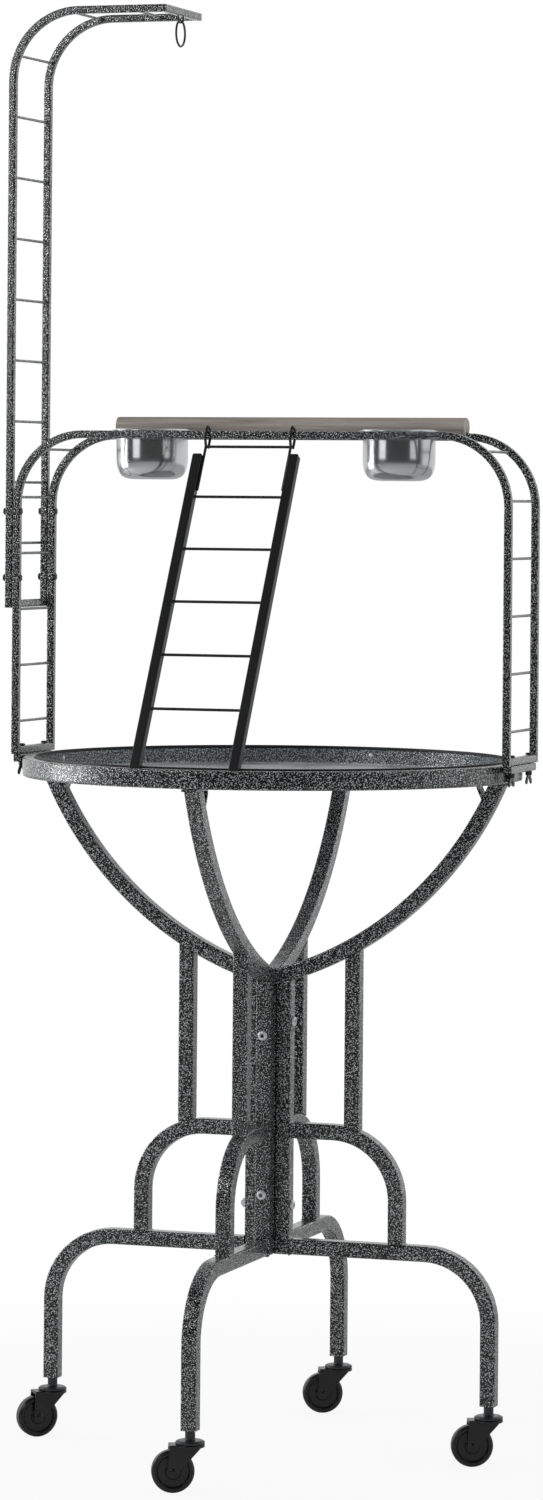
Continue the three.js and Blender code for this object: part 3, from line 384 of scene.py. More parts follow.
def rounded_outline(points, radius, steps=4, closed=True):
    """A polyline with round corners: on each corner P lies the curve (1-t)^2 A + 2t(1-t) P + t^2 B, where A
    and B are the points that lie the radius away from P on its two sides."""
    points = np.asarray(points, float)
    radius = np.broadcast_to(np.asarray(radius, float), len(points))[:, None]
    before = np.roll(points, 1, axis=0) - points
    after = np.roll(points, -1, axis=0) - points
    before_length = np.maximum(np.linalg.norm(before, axis=1, keepdims=True), NO_LENGTH)
    after_length = np.maximum(np.linalg.norm(after, axis=1, keepdims=True), NO_LENGTH)
    start = points + before * np.minimum(radius / before_length, CORNER_SHARE)
    end = points + after * np.minimum(radius / after_length, CORNER_SHARE)
    t = np.linspace(0, 1, steps + 1)[:, None, None]
    curve = (1 - t) ** 2 * start + 2 * t * (1 - t) * points + t**2 * end
    curve = np.transpose(curve, (1, 0, 2))
    if closed:
        return curve.reshape(-1, 2)
    return np.concatenate([points[:1], curve[1:-1].reshape(-1, 2), points[-1:]])


def rectangle_outline(width, height, corner, steps=4):
    """A rectangle with round corners: each corner's centre plus the radius times (cos a, sin a), a over a
    quarter turn."""
    turns = np.arange(4) * np.pi / 2
    angles = turns[:, None] + np.linspace(0, np.pi / 2, steps + 1)
    signs = np.sign(on_circle(turns + np.pi / 4))
    centres = signs * (np.array([width, height]) / 2 - corner)
    return (centres[:, None] + corner * on_circle(angles)).reshape(-1, 2)


def circle_outline(diameter, steps=12):
    """A circle: half the diameter times (cos a, sin a)."""
    return diameter / 2 * on_circle(np.arange(steps) * 2 * np.pi / steps)


def mirrored(profile):
    """A profile of radius and height, then its mirror image below height 0, backwards."""
    return profile + [(radius, -height) for radius, height in profile[::-1]]


def bent_route(corners, radius, steps=14):
    """Straight runs between the corners, each inner corner rounded. On a bend that leaves along u and turns
    towards w, a point is start + u R sin a + w R (1 - cos a), and its direction is u cos a + w sin a."""
    corners = np.asarray(corners, float)
    steps_along = np.diff(corners, axis=0)
    ways = steps_along / np.linalg.norm(steps_along, axis=1, keepdims=True)
    points, directions = [corners[:1]], [ways[:1]]
    for corner, u, after in zip(corners[1:-1], ways[:-1], ways[1:]):
        bend = math.acos(float(np.clip(u @ after, -1, 1)))
        w = after - u * math.cos(bend)
        w /= np.linalg.norm(w)
        start = corner - u * radius * math.tan(bend / 2)
        a = np.linspace(0, bend, steps + 1)[:, None]
        points.append(start + u * radius * np.sin(a) + w * radius * (1 - np.cos(a)))
        directions.append(u * np.cos(a) + w * np.sin(a))
    points.append(corners[-1:])
    directions.append(ways[-1:])
    return np.concatenate(points), np.concatenate(directions)


def points_along(route, distances):
    """The points of a route at these distances from its start, by its summed chord lengths."""
    points = route[0]
    travelled = np.concatenate([[0], np.cumsum(np.linalg.norm(np.diff(points, axis=0), axis=1))])
    return np.stack([np.interp(distances, travelled, points[:, i]) for i in range(2)], axis=-1)


# Sheets: grids of points in space, closed across their columns


def stacked(x, y, z):
    """A grid of points from coordinates that may lack rows or columns."""
    return np.stack(np.broadcast_arrays(x, y, z), axis=-1)


def carried(outline, route, offset=0.0):
    """An outline carried along a route in the XZ plane: the route's point, plus the outline's first number
    along Y and its second along the route's normal."""
    points, directions = route
    normals = np.stack([directions[:, 1], -directions[:, 0]], axis=-1)
    x = points[:, :1] + normals[:, :1] * outline[:, 1]
    z = points[:, 1:] + normals[:, 1:] * outline[:, 1]
    return stacked(x, outline[:, 0] + offset, z)


def straight(outline, start, end, side, up, scales=((0, 1), (1, 1))):
    """An outline carried straight from start to end: start + share (end - start) + scale (first number *
    side + second number * up), for each pair of share and scale."""
    start, end, side, up = (np.asarray(v, float) for v in (start, end, side, up))
    shares, sizes = np.array(scales, float).T[:, :, None, None]
    flat = outline[:, :1] * side + outline[:, 1:] * up
    return start + shares * (end - start) + sizes * flat


def turned(profile, steps=64):
    """A profile of radius and height turned round Z: (r cos a, r sin a, h)."""
    profile = np.asarray(profile, float)
    angles = (np.arange(steps) * 2 * np.pi / steps)[:, None]
    return stacked(np.cos(angles) * profile[:, 0], np.sin(angles) * profile[:, 0], profile[:, 1])


def capped(grid):
    """A grid with each end drawn in to its own middle point, which closes it."""
    first = np.broadcast_to(grid[:1].mean(axis=1, keepdims=True), grid[:1].shape)
    last = np.broadcast_to(grid[-1:].mean(axis=1, keepdims=True), grid[-1:].shape)
    return np.concatenate([first, grid, last])


def walled(outer, inner):
    """Outer grid, then inner grid backwards: a tube with a wall, once its rows are closed."""
    return np.concatenate([outer, inner[::-1]])


def plate(outline, thickness, edge, steps=3):
    """A plate with rounded edges, its middle on Z = 0: at height h the outline is drawn in along its own
    normals by edge (1 - cos a) while h runs by edge sin a over the quarter circle at each face."""
    outline = np.asarray(outline, float)
    along = np.roll(outline, -1, axis=0) - np.roll(outline, 1, axis=0)
    normals = np.stack([along[:, 1], -along[:, 0]], axis=-1)
    normals /= np.maximum(np.linalg.norm(normals, axis=1, keepdims=True), NO_LENGTH)
    a = np.linspace(0, np.pi / 2, steps + 1)
    drawn = edge * (1 - np.sin(a))
    heights = thickness / 2 - edge * (1 - np.cos(a))
    drawn = np.concatenate([drawn, drawn[::-1]])
    heights = np.concatenate([-heights, heights[::-1]])
    flat = outline[None] - drawn[:, None, None] * normals[None]
    return np.concatenate([flat, np.broadcast_to(heights[:, None, None], flat[..., :1].shape)], axis=-1)


def placed(grid, matrix):
    """A grid moved and turned by a 4 by 4 matrix."""
    matrix = np.array(matrix)
    return grid @ matrix[:3, :3].T + matrix[:3, 3]


def moved(x, y, z):
    """A move without a turn."""
    return Matrix.Translation((x, y, z))


def turn_z(radians):
    """A turn about Z."""
    return Matrix.Rotation(radians, 4, "Z")


def along_x(x, y, z, way=1):
    """Z laid along X, or against it, then moved."""
    return moved(x, y, z) @ Matrix.Rotation(way * math.pi / 2, 4, "Y")


def column_place(turn=0.0):
    """Local coordinates with the column on Z, turned about it, to the frame."""
    return moved(COLUMN[0], COLUMN[1], 0) @ turn_z(turn)


def side_places():
    """Each side's name, and the column's place turned so that X points to that side."""
    return [(side, column_place(quarter * math.pi / 2)) for quarter, side in enumerate(SIDES)]


def grid_faces(grid, rows_closed, columns_closed):
    """Quads between neighbouring points. A closed direction joins its last line to its first."""
    rows, columns = grid.shape[:2]
    r, c = np.meshgrid(
        np.arange(rows if rows_closed else rows - 1),
        np.arange(columns if columns_closed else columns - 1),
        indexing="ij",
    )
    next_r, next_c = (r + 1) % rows, (c + 1) % columns
    corners = ((r, c), (r, next_c), (next_r, next_c), (next_r, c))
    return np.stack([row * columns + column for row, column in corners], axis=-1).reshape(-1, 4)


class Surface:
    """The closed sheets of one piece, gathered as arrays."""

    def __init__(self):
        self.points = []
        self.faces = []
        self.size = 0

    def add(self, grid, rows_closed=False, columns_closed=True, matrix=None):
        """Adds a closed sheet. Its quads are turned round if the volume that they enclose comes out
        negative."""
        if matrix is not None:
            grid = placed(grid, matrix)
        faces = grid_faces(grid, rows_closed, columns_closed)
        points = grid.reshape(-1, 3)
        a, b, c, d = (points[faces[:, i]] - points.mean(axis=0) for i in range(4))
        volume = np.sum(a * np.cross(b, c)) + np.sum(a * np.cross(c, d))
        if volume < 0:
            faces = faces[:, ::-1]
        self.points.append(points)
        self.faces.append(faces + self.size)
        self.size += len(points)
        return self

    def lathe(self, profile, radii, matrix=None, around=24, steps=3):
        """Adds a profile of radius and height that runs from axis to axis, with rounded corners, turned
        round Z."""
        outline = rounded_outline(profile, radii, steps, False)
        return self.add(turned(outline, around), rows_closed=True, columns_closed=False, matrix=matrix)

    def piece(self, name, body, nodes, slot, crease=35.0):
        """The piece as an object: poles and seams merged, smooth but for edges sharper than the crease in
        degrees, with its slot's finish, riding on its body."""
        mesh = bpy.data.meshes.new(name)
        mesh.from_pydata(np.concatenate(self.points), [], np.concatenate(self.faces))
        merged = bmesh.new()
        merged.from_mesh(mesh)
        bmesh.ops.remove_doubles(merged, verts=merged.verts, dist=SAME_POINT)
        merged.to_mesh(mesh)
        merged.free()
        mesh.shade_smooth()
        mesh.set_sharp_from_angle(angle=math.radians(crease))
        mesh.materials.append(finish_for(slot))
        obj = bpy.data.objects.new(name, mesh)
        bpy.context.scene.collection.objects.link(obj)
        evened = obj.modifiers.new("flat faces stay flat", "WEIGHTED_NORMAL")
        evened.keep_sharp = True
        evened.weight = 80
        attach(obj, body)
        if nodes:
            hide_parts(*nodes)

    def skin(self, node, body, slot, crease=35.0):
        """The piece that replaces one CAD node and is named after it."""
        self.piece(f"{node}_skin", body, [node], slot, crease)


# Shader values and finishes


class Value:
    """A number that a shader works out at each point, so that finishes are written as sums."""

    def __init__(self, finish, socket):
        self.finish = finish
        self.socket = socket

    def maths(self, operation, first, second):
        """A maths node's result from two numbers, sockets or values."""
        node = self.finish.node("ShaderNodeMath", {"operation": operation}, {0: first, 1: second})
        return Value(self.finish, node.outputs[0])

    def __add__(self, other):
        return self.maths("ADD", self, other)

    def __radd__(self, other):
        return self.maths("ADD", other, self)

    def __sub__(self, other):
        return self.maths("SUBTRACT", self, other)

    def __rsub__(self, other):
        return self.maths("SUBTRACT", other, self)

    def __mul__(self, other):
        return self.maths("MULTIPLY", self, other)

    def __rmul__(self, other):
        return self.maths("MULTIPLY", other, self)

    def __gt__(self, other):
        return self.maths("GREATER_THAN", self, other)

    def __abs__(self):
        return self.maths("ABSOLUTE", self, 0.0)


class Finish:
    """The nodes of one material, or of the world. Constants are set on the sockets themselves."""

    def __init__(self, owner):
        owner.use_nodes = True
        self.tree = owner.node_tree
        self.tree.nodes.clear()

    def node(self, kind, settings=None, values=None):
        """A node with its settings made first, then its sockets given a link, a number or an opaque
        colour."""
        made = self.tree.nodes.new(kind)
        for name, value in (settings or {}).items():
            setattr(made, name, value)
        for name, value in (values or {}).items():
            socket = made.inputs[name]
            value = value.socket if isinstance(value, Value) else value
            if isinstance(value, bpy.types.NodeSocket):
                self.tree.links.new(value, socket)
            elif socket.type == "RGBA":
                socket.default_value = (*value[:3], 1.0)
            else:
                socket.default_value = value
        return made

    def coordinates(self):
        """Object coordinates, which are the frame's own."""
        return self.node("ShaderNodeTexCoord").outputs["Object"]

    def along(self, vector, axis):
        """One coordinate of a vector."""
        return Value(self, self.node("ShaderNodeSeparateXYZ", None, {"Vector": vector}).outputs[axis])

    def stretched(self, vector, scale, centre=(0, 0, 0)):
        """Coordinates about a centre, scaled."""
        location = tuple(-c * s for c, s in zip(centre, scale))
        values = {"Vector": vector, "Location": location, "Scale": scale}
        return self.node("ShaderNodeMapping", {"vector_type": "POINT"}, values).outputs[0]

    def noise(self, vector, scale, detail=2.0, roughness=0.5, distortion=0.0):
        """Fractal noise from 0 to 1."""
        names = ("Vector", "Scale", "Detail", "Roughness", "Distortion")
        values = dict(zip(names, (vector, scale, detail, roughness, distortion)))
        return Value(self, self.node("ShaderNodeTexNoise", {"noise_dimensions": "3D"}, values).outputs["Fac"])

    def eased(self, value, low, high, from_value=0.0, to_value=1.0):
        """A smooth step from one value to another while the input runs from low to high."""
        values = {"Value": value, "From Min": low, "From Max": high, "To Min": from_value, "To Max": to_value}
        node = self.node("ShaderNodeMapRange", {"interpolation_type": "SMOOTHSTEP"}, values)
        return Value(self, node.outputs["Result"])

    def blended(self, factor, first, second):
        """One colour run into another. The sockets' numbers are those of a Mix node's factor and colours."""
        return self.node("ShaderNodeMix", {"data_type": "RGBA"}, {0: factor, 6: first, 7: second}).outputs[2]

    def bumped(self, height, strength, distance):
        """A normal that follows a height. A height of 1 stands for the distance, in metres."""
        values = {"Height": height, "Strength": strength, "Distance": distance}
        return self.node("ShaderNodeBump", None, values).outputs["Normal"]

    def surface(self, **sockets):
        """The Principled shader with these sockets, joined to the output."""
        values = {name.replace("_", " "): value for name, value in sockets.items()}
        shader = self.node("ShaderNodeBsdfPrincipled", None, values)
        self.node("ShaderNodeOutputMaterial", None, {"Surface": shader.outputs[0]})


def hammertone(finish, sizes, dark, light, cover, roughness, depth, worn=None):
    """Hammertone powder coat: noise at the flecks' size, broken up by finer noise, is cut by a smooth step
    into light metal flecks and the dark paint between them. More cover lowers the step and makes more
    flecks. They stand proud by some of the depth, under a glossy coat. Painted sheen names a light colour
    that the pan's floor is taken towards in patches, with a thin and dull coat there: a painted sheen in
    place of the floor's reflection. The painted sheen fades out up the pan's wall."""
    colours = sizes.finish
    grains_a_fleck, broken_up, edge_low, edge_high = 2.7, 0.25, 0.635, 0.68
    metal, coat, sheen_dulling, fade, patches_a_metre = 0.6, 0.5, 0.5, 0.004, 11.0
    where = finish.coordinates()
    blots = finish.noise(where, 1.0 / colours.fleck, 0.0)
    grain = finish.noise(where, grains_a_fleck / colours.fleck, 0.0)
    ridge = finish.eased(blots + broken_up * (grain - 0.5), edge_low - cover, edge_high - cover)
    colour = finish.blended(ridge, getattr(colours, dark), getattr(colours, light))
    metallic = metal * ridge
    # The pan's floor gets a painted sheen: lighter, duller paint in patches in place of its reflection
    if worn:
        floor = RING_FOOT + sizes.tray.pan_wall
        patches = finish.eased(finish.noise(where, patches_a_metre, 4.0, 0.55), 0.35, 0.65, 0.4, 0.85)
        sheen_share = patches * finish.eased(finish.along(where, "Z"), floor, floor + fade, 1.0, 0.0)
        colour = finish.blended(sheen_share, colour, getattr(colours, worn))
        metallic = metallic * (1 - sheen_share)
        roughness = roughness + sheen_dulling * sheen_share
        coat = coat - sheen_dulling * sheen_share
    finish.surface(
        Base_Color=colour,
        Metallic=metallic,
        Roughness=roughness,
        Specular_IOR_Level=0.35,
        Normal=finish.bumped(blots, 0.6, depth),
        Coat_Weight=coat,
        Coat_Roughness=0.15,
    )


def plain_coat(finish, sizes, colour, roughness, metallic, grain, depth, wear):
    """A plain coat: noise at the grain's size and broad patches drive a little of its colour and its
    roughness, and the grain its height. The wear is how far they take the colour towards a lighter one."""
    patches_a_metre, lightened, raised = 25.0, 1.9, 0.01
    colour = tuple(getattr(sizes.finish, colour))
    lighter = tuple(min(1.0, c * lightened + raised) for c in colour)
    where = finish.coordinates()
    fine = finish.noise(where, 1 / grain, 3.0, 0.6)
    patches = finish.noise(where, patches_a_metre)
    finish.surface(
        Base_Color=finish.blended(wear * (fine + patches), colour, lighter),
        Metallic=metallic,
        Roughness=roughness + 0.12 * (fine - 0.5) + 0.1 * (patches - 0.5),
        Normal=finish.bumped(fine, 0.4, depth),
    )


def polished_steel(finish, sizes):
    """Spun and polished steel: fine rings at equal heights in its roughness and height, and faint
    clouding."""
    colour = tuple(sizes.finish.steel)
    clouded = tuple(c * 0.86 for c in colour)
    rings_a_metre, clouds_a_metre, ring_depth = (4.0, 4.0, 900.0), 22.0, 0.00004
    where = finish.coordinates()
    rings = finish.noise(finish.stretched(where, rings_a_metre), 1.0)
    clouds = finish.noise(where, clouds_a_metre, 3.0)
    finish.surface(
        Base_Color=finish.blended(clouds, clouded, colour),
        Metallic=1.0,
        Roughness=0.10 + 0.10 * rings + 0.06 * clouds,
        Normal=finish.bumped(rings, 0.12, ring_depth),
    )


def perch_wood(finish, sizes):
    """Wood with its grain along the perch: noise stretched along X makes the bands, the fibres and dark
    flecks, and the cut ends are lighter."""
    colours = sizes.finish
    centre = middle_of("perch")
    bands_a_metre, fibres_a_metre = (3.0, 95.0, 95.0), (14.0, 1500.0, 1500.0)
    flecks_a_metre = (60.0, 600.0, 600.0)
    cut_depth, grain_depth = 0.0012, 0.0003
    where = finish.coordinates()
    bands = finish.noise(finish.stretched(where, bands_a_metre, centre), 1.0, 3.0, 0.6, 0.6)
    fibres = finish.noise(finish.stretched(where, fibres_a_metre, centre), 1.0, 2.0, 0.7)
    flecks = finish.noise(finish.stretched(where, flecks_a_metre, centre), 1.0, 1.0)
    from_middle = abs(finish.along(where, "X") - float(centre[0]))
    end = from_middle > (sizes.perch.span / 2 - cut_depth)
    tone = finish.eased(0.6 * bands + 0.4 * fibres, 0.34, 0.64)
    grain = finish.blended(tone, colours.wood_dark, colours.wood_light)
    flecked = finish.blended(0.25 * finish.eased(flecks, 0.6, 0.75), grain, colours.wood_dark)
    finish.surface(
        Base_Color=finish.blended(end * 0.8, flecked, colours.wood_end),
        Roughness=0.62 + 0.2 * fibres,
        Normal=finish.bumped(fibres + 0.6 * bands, 0.5, grain_depth),
    )


# Each slot's material, the function that makes its nodes, and that function's further values: for hammertone
# the dark and light colours, cover, roughness, depth and the colour of the pan floor's painted sheen, and for
# a plain coat its colour, roughness, metallic, grain, depth and wear
FINISHES = {
    "hammertone": ("hammertone paint", hammertone, "hammer_dark", "hammer_light", 0.05, 0.23, 0.0009),
    # The pan's finish carries the painted sheen of its floor
    "pan_grey": ("pan paint", hammertone, "pan_dark", "pan_light", 0.1, 0.2, 0.0006, "pan_worn"),
    "polished_steel": ("polished steel", polished_steel),
    "perch_wood": ("perch wood", perch_wood),
    "ladder_black": ("ladder coat", plain_coat, "ladder_black", 0.42, 0.3, 0.0016, 0.00012, 0.15),
    "caster_black": ("caster black", plain_coat, "caster_black", 0.26, 0.0, 0.0011, 0.00005, 0.1),
    "wheel_black": ("wheel black", plain_coat, "wheel_black", 0.3, 0.0, 0.0014, 0.00006, 0.1),
    "caster_steel": ("dark plated steel", plain_coat, "dark_steel", 0.32, 0.7, 0.0010, 0.00004, 0.08),
    "zinc": ("zinc plate", plain_coat, "zinc", 0.3, 0.5, 0.0009, 0.00004, 0.05),
}


def finish_for(slot):
    """The material of a slot of the record, made at its first use."""
    name, make_nodes, *values = FINISHES[slot]
    material = bpy.data.materials.get(name)
    if not material:
        material = bpy.data.materials.new(name)
        make_nodes(Finish(material), bpy.context.scene.play_stand, *values)
    return material


# Places and pieces that several operators share


def ring_top(sizes):
    """Height of the tray ring's upper face."""
    return RING_FOOT + sizes.tray.height


def arch_bar(sizes):
    """Height of the axis of the arch's top bars."""
    return ring_top(sizes) + sizes.arch.height


def lug_reach(sizes):
    """Column axis to the axis of a lug bar, which is also that of the arch's upright rails."""
    return sizes.tray.radius + sizes.tray.lug_stand + sizes.tube.small / 2


def rung_half(sizes):
    """Half the length of a rung of the arch or the hanging arm, which is sunk into both rails."""
    return sizes.arch.spread - sizes.tube.small / 2 + SUNK


def small_outline(tube):
    """Outline of the small square tube."""
    return rectangle_outline(tube.small, tube.small, tube.small_corner)


def bar_y(tube, x, z, half):
    """A small square bar along Y about y = 0, its long edges rounded and its ends closed."""
    return capped(straight(small_outline(tube), (x, -half, z), (x, half, z), X, Z))


def rung_y(tube, x, z, half):
    """A round rung along Y: its radius is the rung's own, plus the weld times (1 - d / reach)^2 at a
    distance d within the fillet's reach of either end."""
    welds_long = 2.2
    reach = welds_long * tube.weld
    steps = np.linspace(0, reach, 5)
    grown = 1 + tube.weld * (1 - steps / reach) ** 2 / (tube.rung / 2)
    near = [(s / (2 * half), g) for s, g in zip(steps, grown)]
    scales = near + [(1 - s, g) for s, g in near[::-1]]
    return capped(straight(circle_outline(tube.rung), (x, -half, z), (x, half, z), X, Z, scales))


def rails(surface, sizes, route, matrix):
    """Adds the two small tubes that follow a route, one on either side of the middle plane."""
    for hand in (-1, 1):
        rail = carried(small_outline(sizes.tube), route, hand * sizes.arch.spread)
        surface.add(capped(rail), matrix=matrix)


def through_bolt(grip, thickness, head, socket, nut_height, tail, matrix):
    """A through bolt up Z: its profile turned round Z, with a domed head and its socket above the grip, and
    below it a six-sided nut, drawn in at both faces, that the bolt's end stands out of. The head and the
    socket are given as width and height."""
    (width, height), (opening, depth) = head, socket
    flat_top, nut_width, drawn, bevel = 0.8 * width, 0.99 * width, 0.9, 0.14
    edge = height / 8
    end = -nut_height - tail
    profile = [
        (0, grip + height - depth),
        (opening / 2, grip + height - depth),
        (opening / 2, grip + height),
        (flat_top / 2, grip + height),
        (width / 2, grip + height / 2),
        (width / 2, grip),
        (thickness / 2, grip),
        (thickness / 2, end),
        (0, end),
    ]
    bends = (0, edge, edge, height / 3, height / 3, edge, 0, edge, 0)
    surface = Surface().lathe(profile, bends, matrix, around=36, steps=4)
    corners = rounded_outline(circle_outline(nut_width, 6), edge, 3)
    scales = [(0, drawn), (bevel, 1), (1 - bevel, 1), (1, drawn)]
    nut = straight(corners, (0, 0, 0), (0, 0, -nut_height), X, Y, scales)
    return surface.add(capped(nut), matrix=matrix)


# Floor stand


def big_outlines(tube):
    """The outer outline of the big tube and that of its bore, with as many points."""
    outer = rectangle_outline(tube.big, tube.big, tube.big_corner)
    bore = tube.big - 2 * tube.big_wall
    return outer, rectangle_outline(bore, bore, max(tube.big_corner - tube.big_wall, tube.gap))


def arm_top(sizes):
    """Height of an arm's upper end, under its strap."""
    return RING_FOOT - 2 * sizes.tube.gap - sizes.stand.strap


def arm_arc(sizes):
    """Radius of an arm's arc, how far its centre lies beyond the column, and its centre's height. The
    centre lies on the line that crosses the chord from the arms' meeting point to an arm's upper end at its
    middle."""
    stand = sizes.stand
    meet = COLUMN_FOOT + stand.arm_meet
    span = sizes.tray.radius - stand.arm_inset
    lift = arm_top(sizes) - meet
    chord = math.hypot(span, lift)
    away = math.sqrt(stand.arm_radius**2 - (chord / 2) ** 2)
    return stand.arm_radius, away * lift / chord - span / 2, meet + lift / 2 + away * span / chord


def arm_underside(arc, x, offset):
    """Height of an arm's lower face at a distance x from the column:
    centre - sqrt((R + offset)^2 - (x + back)^2)."""
    radius, back, centre = arc
    return centre - np.sqrt((radius + offset) ** 2 - (x + back) ** 2)


def arm_grid(arc, outline, gap, top, rows=44):
    """An arm: a point at radius r = R + its second number lies at (r sin a - back, y, centre - r cos a).
    The angle runs from where x equals |y| plus the seam, so that four arms meet in a point, to where the
    arm reaches the top."""
    radius, back, centre = arc
    r = radius + outline[:, 1]
    start = np.arcsin((np.abs(outline[:, 0]) + gap + back) / r)
    end = np.arccos((centre - top) / r)
    a = start + (end - start) * np.linspace(0, 1, rows)[:, None]
    return stacked(r * np.sin(a) - back, outline[:, 0], centre - r * np.cos(a))


def upright_grid(outline, reach, bottom, top, rows=3):
    """An upright tube at a reach, between a lower and an upper height that may differ from point to point."""
    z = bottom + (top - bottom) * np.linspace(0, 1, rows)[:, None]
    return stacked(reach + outline[:, 1], outline[:, 0], z)


def weld_bead(outline, size, centre, along, side, up):
    """A weld round a tube's end: the tube's outline carried over a quarter-round fillet, wide at the joint
    and closing on the tube."""
    a = np.linspace(0, np.pi / 2, 5)
    spread = 1 + 2 * size * (1 - np.sin(a)) / np.ptp(outline[:, 0])
    scales = list(zip(size * (1 - np.cos(a)), spread))
    return capped(straight(outline, centre, centre + along, side, up, scales))


class PLAYSTAND_OT_quarter_frames(bpy.types.Operator):
    """Post, leg, bow, strut and arm of the four quarter frames, and the core tube"""

    bl_idname = "playstand.quarter_frames"
    bl_label = "Quarter frames"

    def execute(self, context):
        sizes = context.scene.play_stand
        tube, stand = sizes.tube, sizes.stand
        outer, inner = big_outlines(tube)
        post_reach = tube.big + tube.gap
        joint = post_reach + tube.big / 2
        half = tube.big / 2 + tube.gap
        leg_bar = COLUMN_FOOT + tube.big / 2
        bow_bar = leg_bar + stand.bow_rise
        leg_top = COLUMN_FOOT + tube.big

        def bent(reach, bar, foot):
            """The route of a leg or a bow: out from the joint at the bar's height, then down to the foot."""
            return bent_route([(joint + tube.gap, bar), (reach, bar), (reach, foot)], stand.leg_bend)

        leg_route = bent(stand.leg_reach, leg_bar, LEG_FOOT)
        bow_route = bent(stand.bow_reach, bow_bar, leg_top + tube.gap)
        arc, top = arm_arc(sizes), arm_top(sizes)
        core_top = float(arm_underside(arc, 0.0, tube.big / 2)) - tube.gap

        def post(outline):
            """A post, from the column's foot to the arm's lower face."""
            under_arm = arm_underside(arc, post_reach + outline[:, 1], half)
            return upright_grid(outline, post_reach, COLUMN_FOOT, under_arm)

        def strut(outline):
            """A strut, from the bow's bend, which is a circle about its centre, to the arm's lower face."""
            x = stand.strut_reach + outline[:, 1]
            from_centre = x - (stand.bow_reach - stand.leg_bend)
            bottom = bow_bar - stand.leg_bend + np.sqrt((stand.leg_bend + half) ** 2 - from_centre**2)
            return upright_grid(outline, stand.strut_reach, bottom, arm_underside(arc, x, half), rows=4)

        shapes = {
            "post": post,
            "leg": lambda outline: carried(outline, leg_route),
            "bow": lambda outline: carried(outline, bow_route),
            "strut": strut,
            "arm": lambda outline: arm_grid(arc, outline, tube.gap, top),
        }
        beads = {
            "leg": [((joint, 0, leg_bar), X, Y, Z)],
            "bow": [((joint, 0, bow_bar), X, Y, Z), ((stand.bow_reach, 0, leg_top), Z, Y, X)],
        }
        for side, matrix in side_places():
            for name, shape in shapes.items():
                surface = Surface().add(walled(shape(outer), shape(inner)), rows_closed=True, matrix=matrix)
                for bead in beads.get(name, []):
                    surface.add(weld_bead(outer, tube.big_weld, *bead), matrix=matrix)
                surface.skin(f"{name}_{side}", "stand", "hammertone")

        skin, bore = (upright_grid(outline, 0.0, COLUMN_FOOT, core_top) for outline in (outer, inner))
        core = Surface().add(walled(skin, bore), rows_closed=True, matrix=column_place())
        core.skin("core_tube", "stand", "hammertone")
        return {"FINISHED"}


class PLAYSTAND_OT_straps(bpy.types.Operator):
    """Straps that join the tray ring to the arms"""

    bl_idname = "playstand.straps"
    bl_label = "Straps"

    def execute(self, context):
        sizes = context.scene.play_stand
        tube, stand, tray = sizes.tube, sizes.stand, sizes.tray
        level = RING_FOOT - tube.gap - stand.strap / 2
        foot_height = RING_FOOT - stand.strap_drop
        radius, back, centre = arm_arc(sizes)
        foot = math.sqrt((radius - tube.big / 2) ** 2 - (centre - foot_height) ** 2) - back
        corners = [
            (tray.radius - stand.strap_inset, level),
            (tray.radius - stand.strap_length, level),
            (foot + stand.strap / 2, foot_height),
        ]
        outline = rectangle_outline(tube.big, stand.strap, stand.strap_corner)
        strap = capped(carried(outline, bent_route(corners, stand.strap_bend)))
        for side, matrix in side_places():
            Surface().add(strap, matrix=matrix).skin(f"tray_bracket_{side}", "stand", "hammertone")
        return {"FINISHED"}


class PLAYSTAND_OT_column_bolts(bpy.types.Operator):
    """Through bolts of the column"""

    bl_idname = "playstand.column_bolts"
    bl_label = "Column bolts"

    def execute(self, context):
        sizes = context.scene.play_stand
        bolts, tube = sizes.bolts, sizes.tube
        grip = 3 * tube.big + 4 * tube.gap
        head, socket = (bolts.head, bolts.head_height), (bolts.socket, bolts.socket_depth)
        for kind, turn in (("side", 0.0), ("front", -math.pi / 2)):
            for number in (1, 2):
                node = f"column_bolt_{kind}_{number}"
                matrix = column_place(turn) @ along_x(-grip / 2, 0, middle_of(node)[2])
                bolt = through_bolt(grip, bolts.shaft, head, socket, bolts.nut, bolts.tail, matrix)
                bolt.skin(node, "stand", "zinc")
        return {"FINISHED"}


# Casters


def caster_places(side):
    """A caster's swivel point, and the turn and the distance from there to its axle."""
    swivel = middle_of(f"caster_stem_{side}")
    way = middle_of(f"caster_wheel_{side}") - swivel
    return swivel, math.atan2(way[1], way[0]), math.hypot(way[0], way[1])


def stem_profile(caster, tube, low):
    """Radius and height of kingpin, raceway disc and stem, from the kingpin's lower end up."""
    fillet_width, fillet_foot, fillet_height = 0.0012, 0.0002, 0.0016
    under = caster.wheel + caster.crown_clear
    disc_foot = under + caster.crown_thickness + caster.play
    disc_top = disc_foot + caster.disc
    disc, stem = caster.crown / 2, caster.stem / 2
    return [
        (0, low),
        (caster.pin_head / 2, low),
        (caster.pin_head / 2, under - tube.gap),
        (caster.pin / 2, under - tube.gap),
        (caster.pin / 2, disc_foot),
        (disc, disc_foot),
        (disc, disc_top - caster.disc_bevel),
        (disc - caster.disc_slope, disc_top),
        (stem + fillet_width, disc_top + fillet_foot),
        (stem, disc_top + fillet_height),
        (stem, LEG_FOOT + caster.stem_sunk),
        (0, LEG_FOOT + caster.stem_sunk),
    ]


def cheek_face(caster):
    """The wheel's middle plane to the inner face of a cheek."""
    return caster.width / 2 + caster.play


def crown_outline(caster):
    """Outline of the fork's crown seen from above: a circle about the swivel axis run out to a straight
    front."""
    half = cheek_face(caster) + caster.plate
    start = math.asin(half / (caster.crown / 2))
    arc = caster.crown / 2 * on_circle(np.linspace(start, 2 * math.pi - start, 40))
    return np.concatenate([[(caster.crown_reach, -half), (caster.crown_reach, half)], arc])


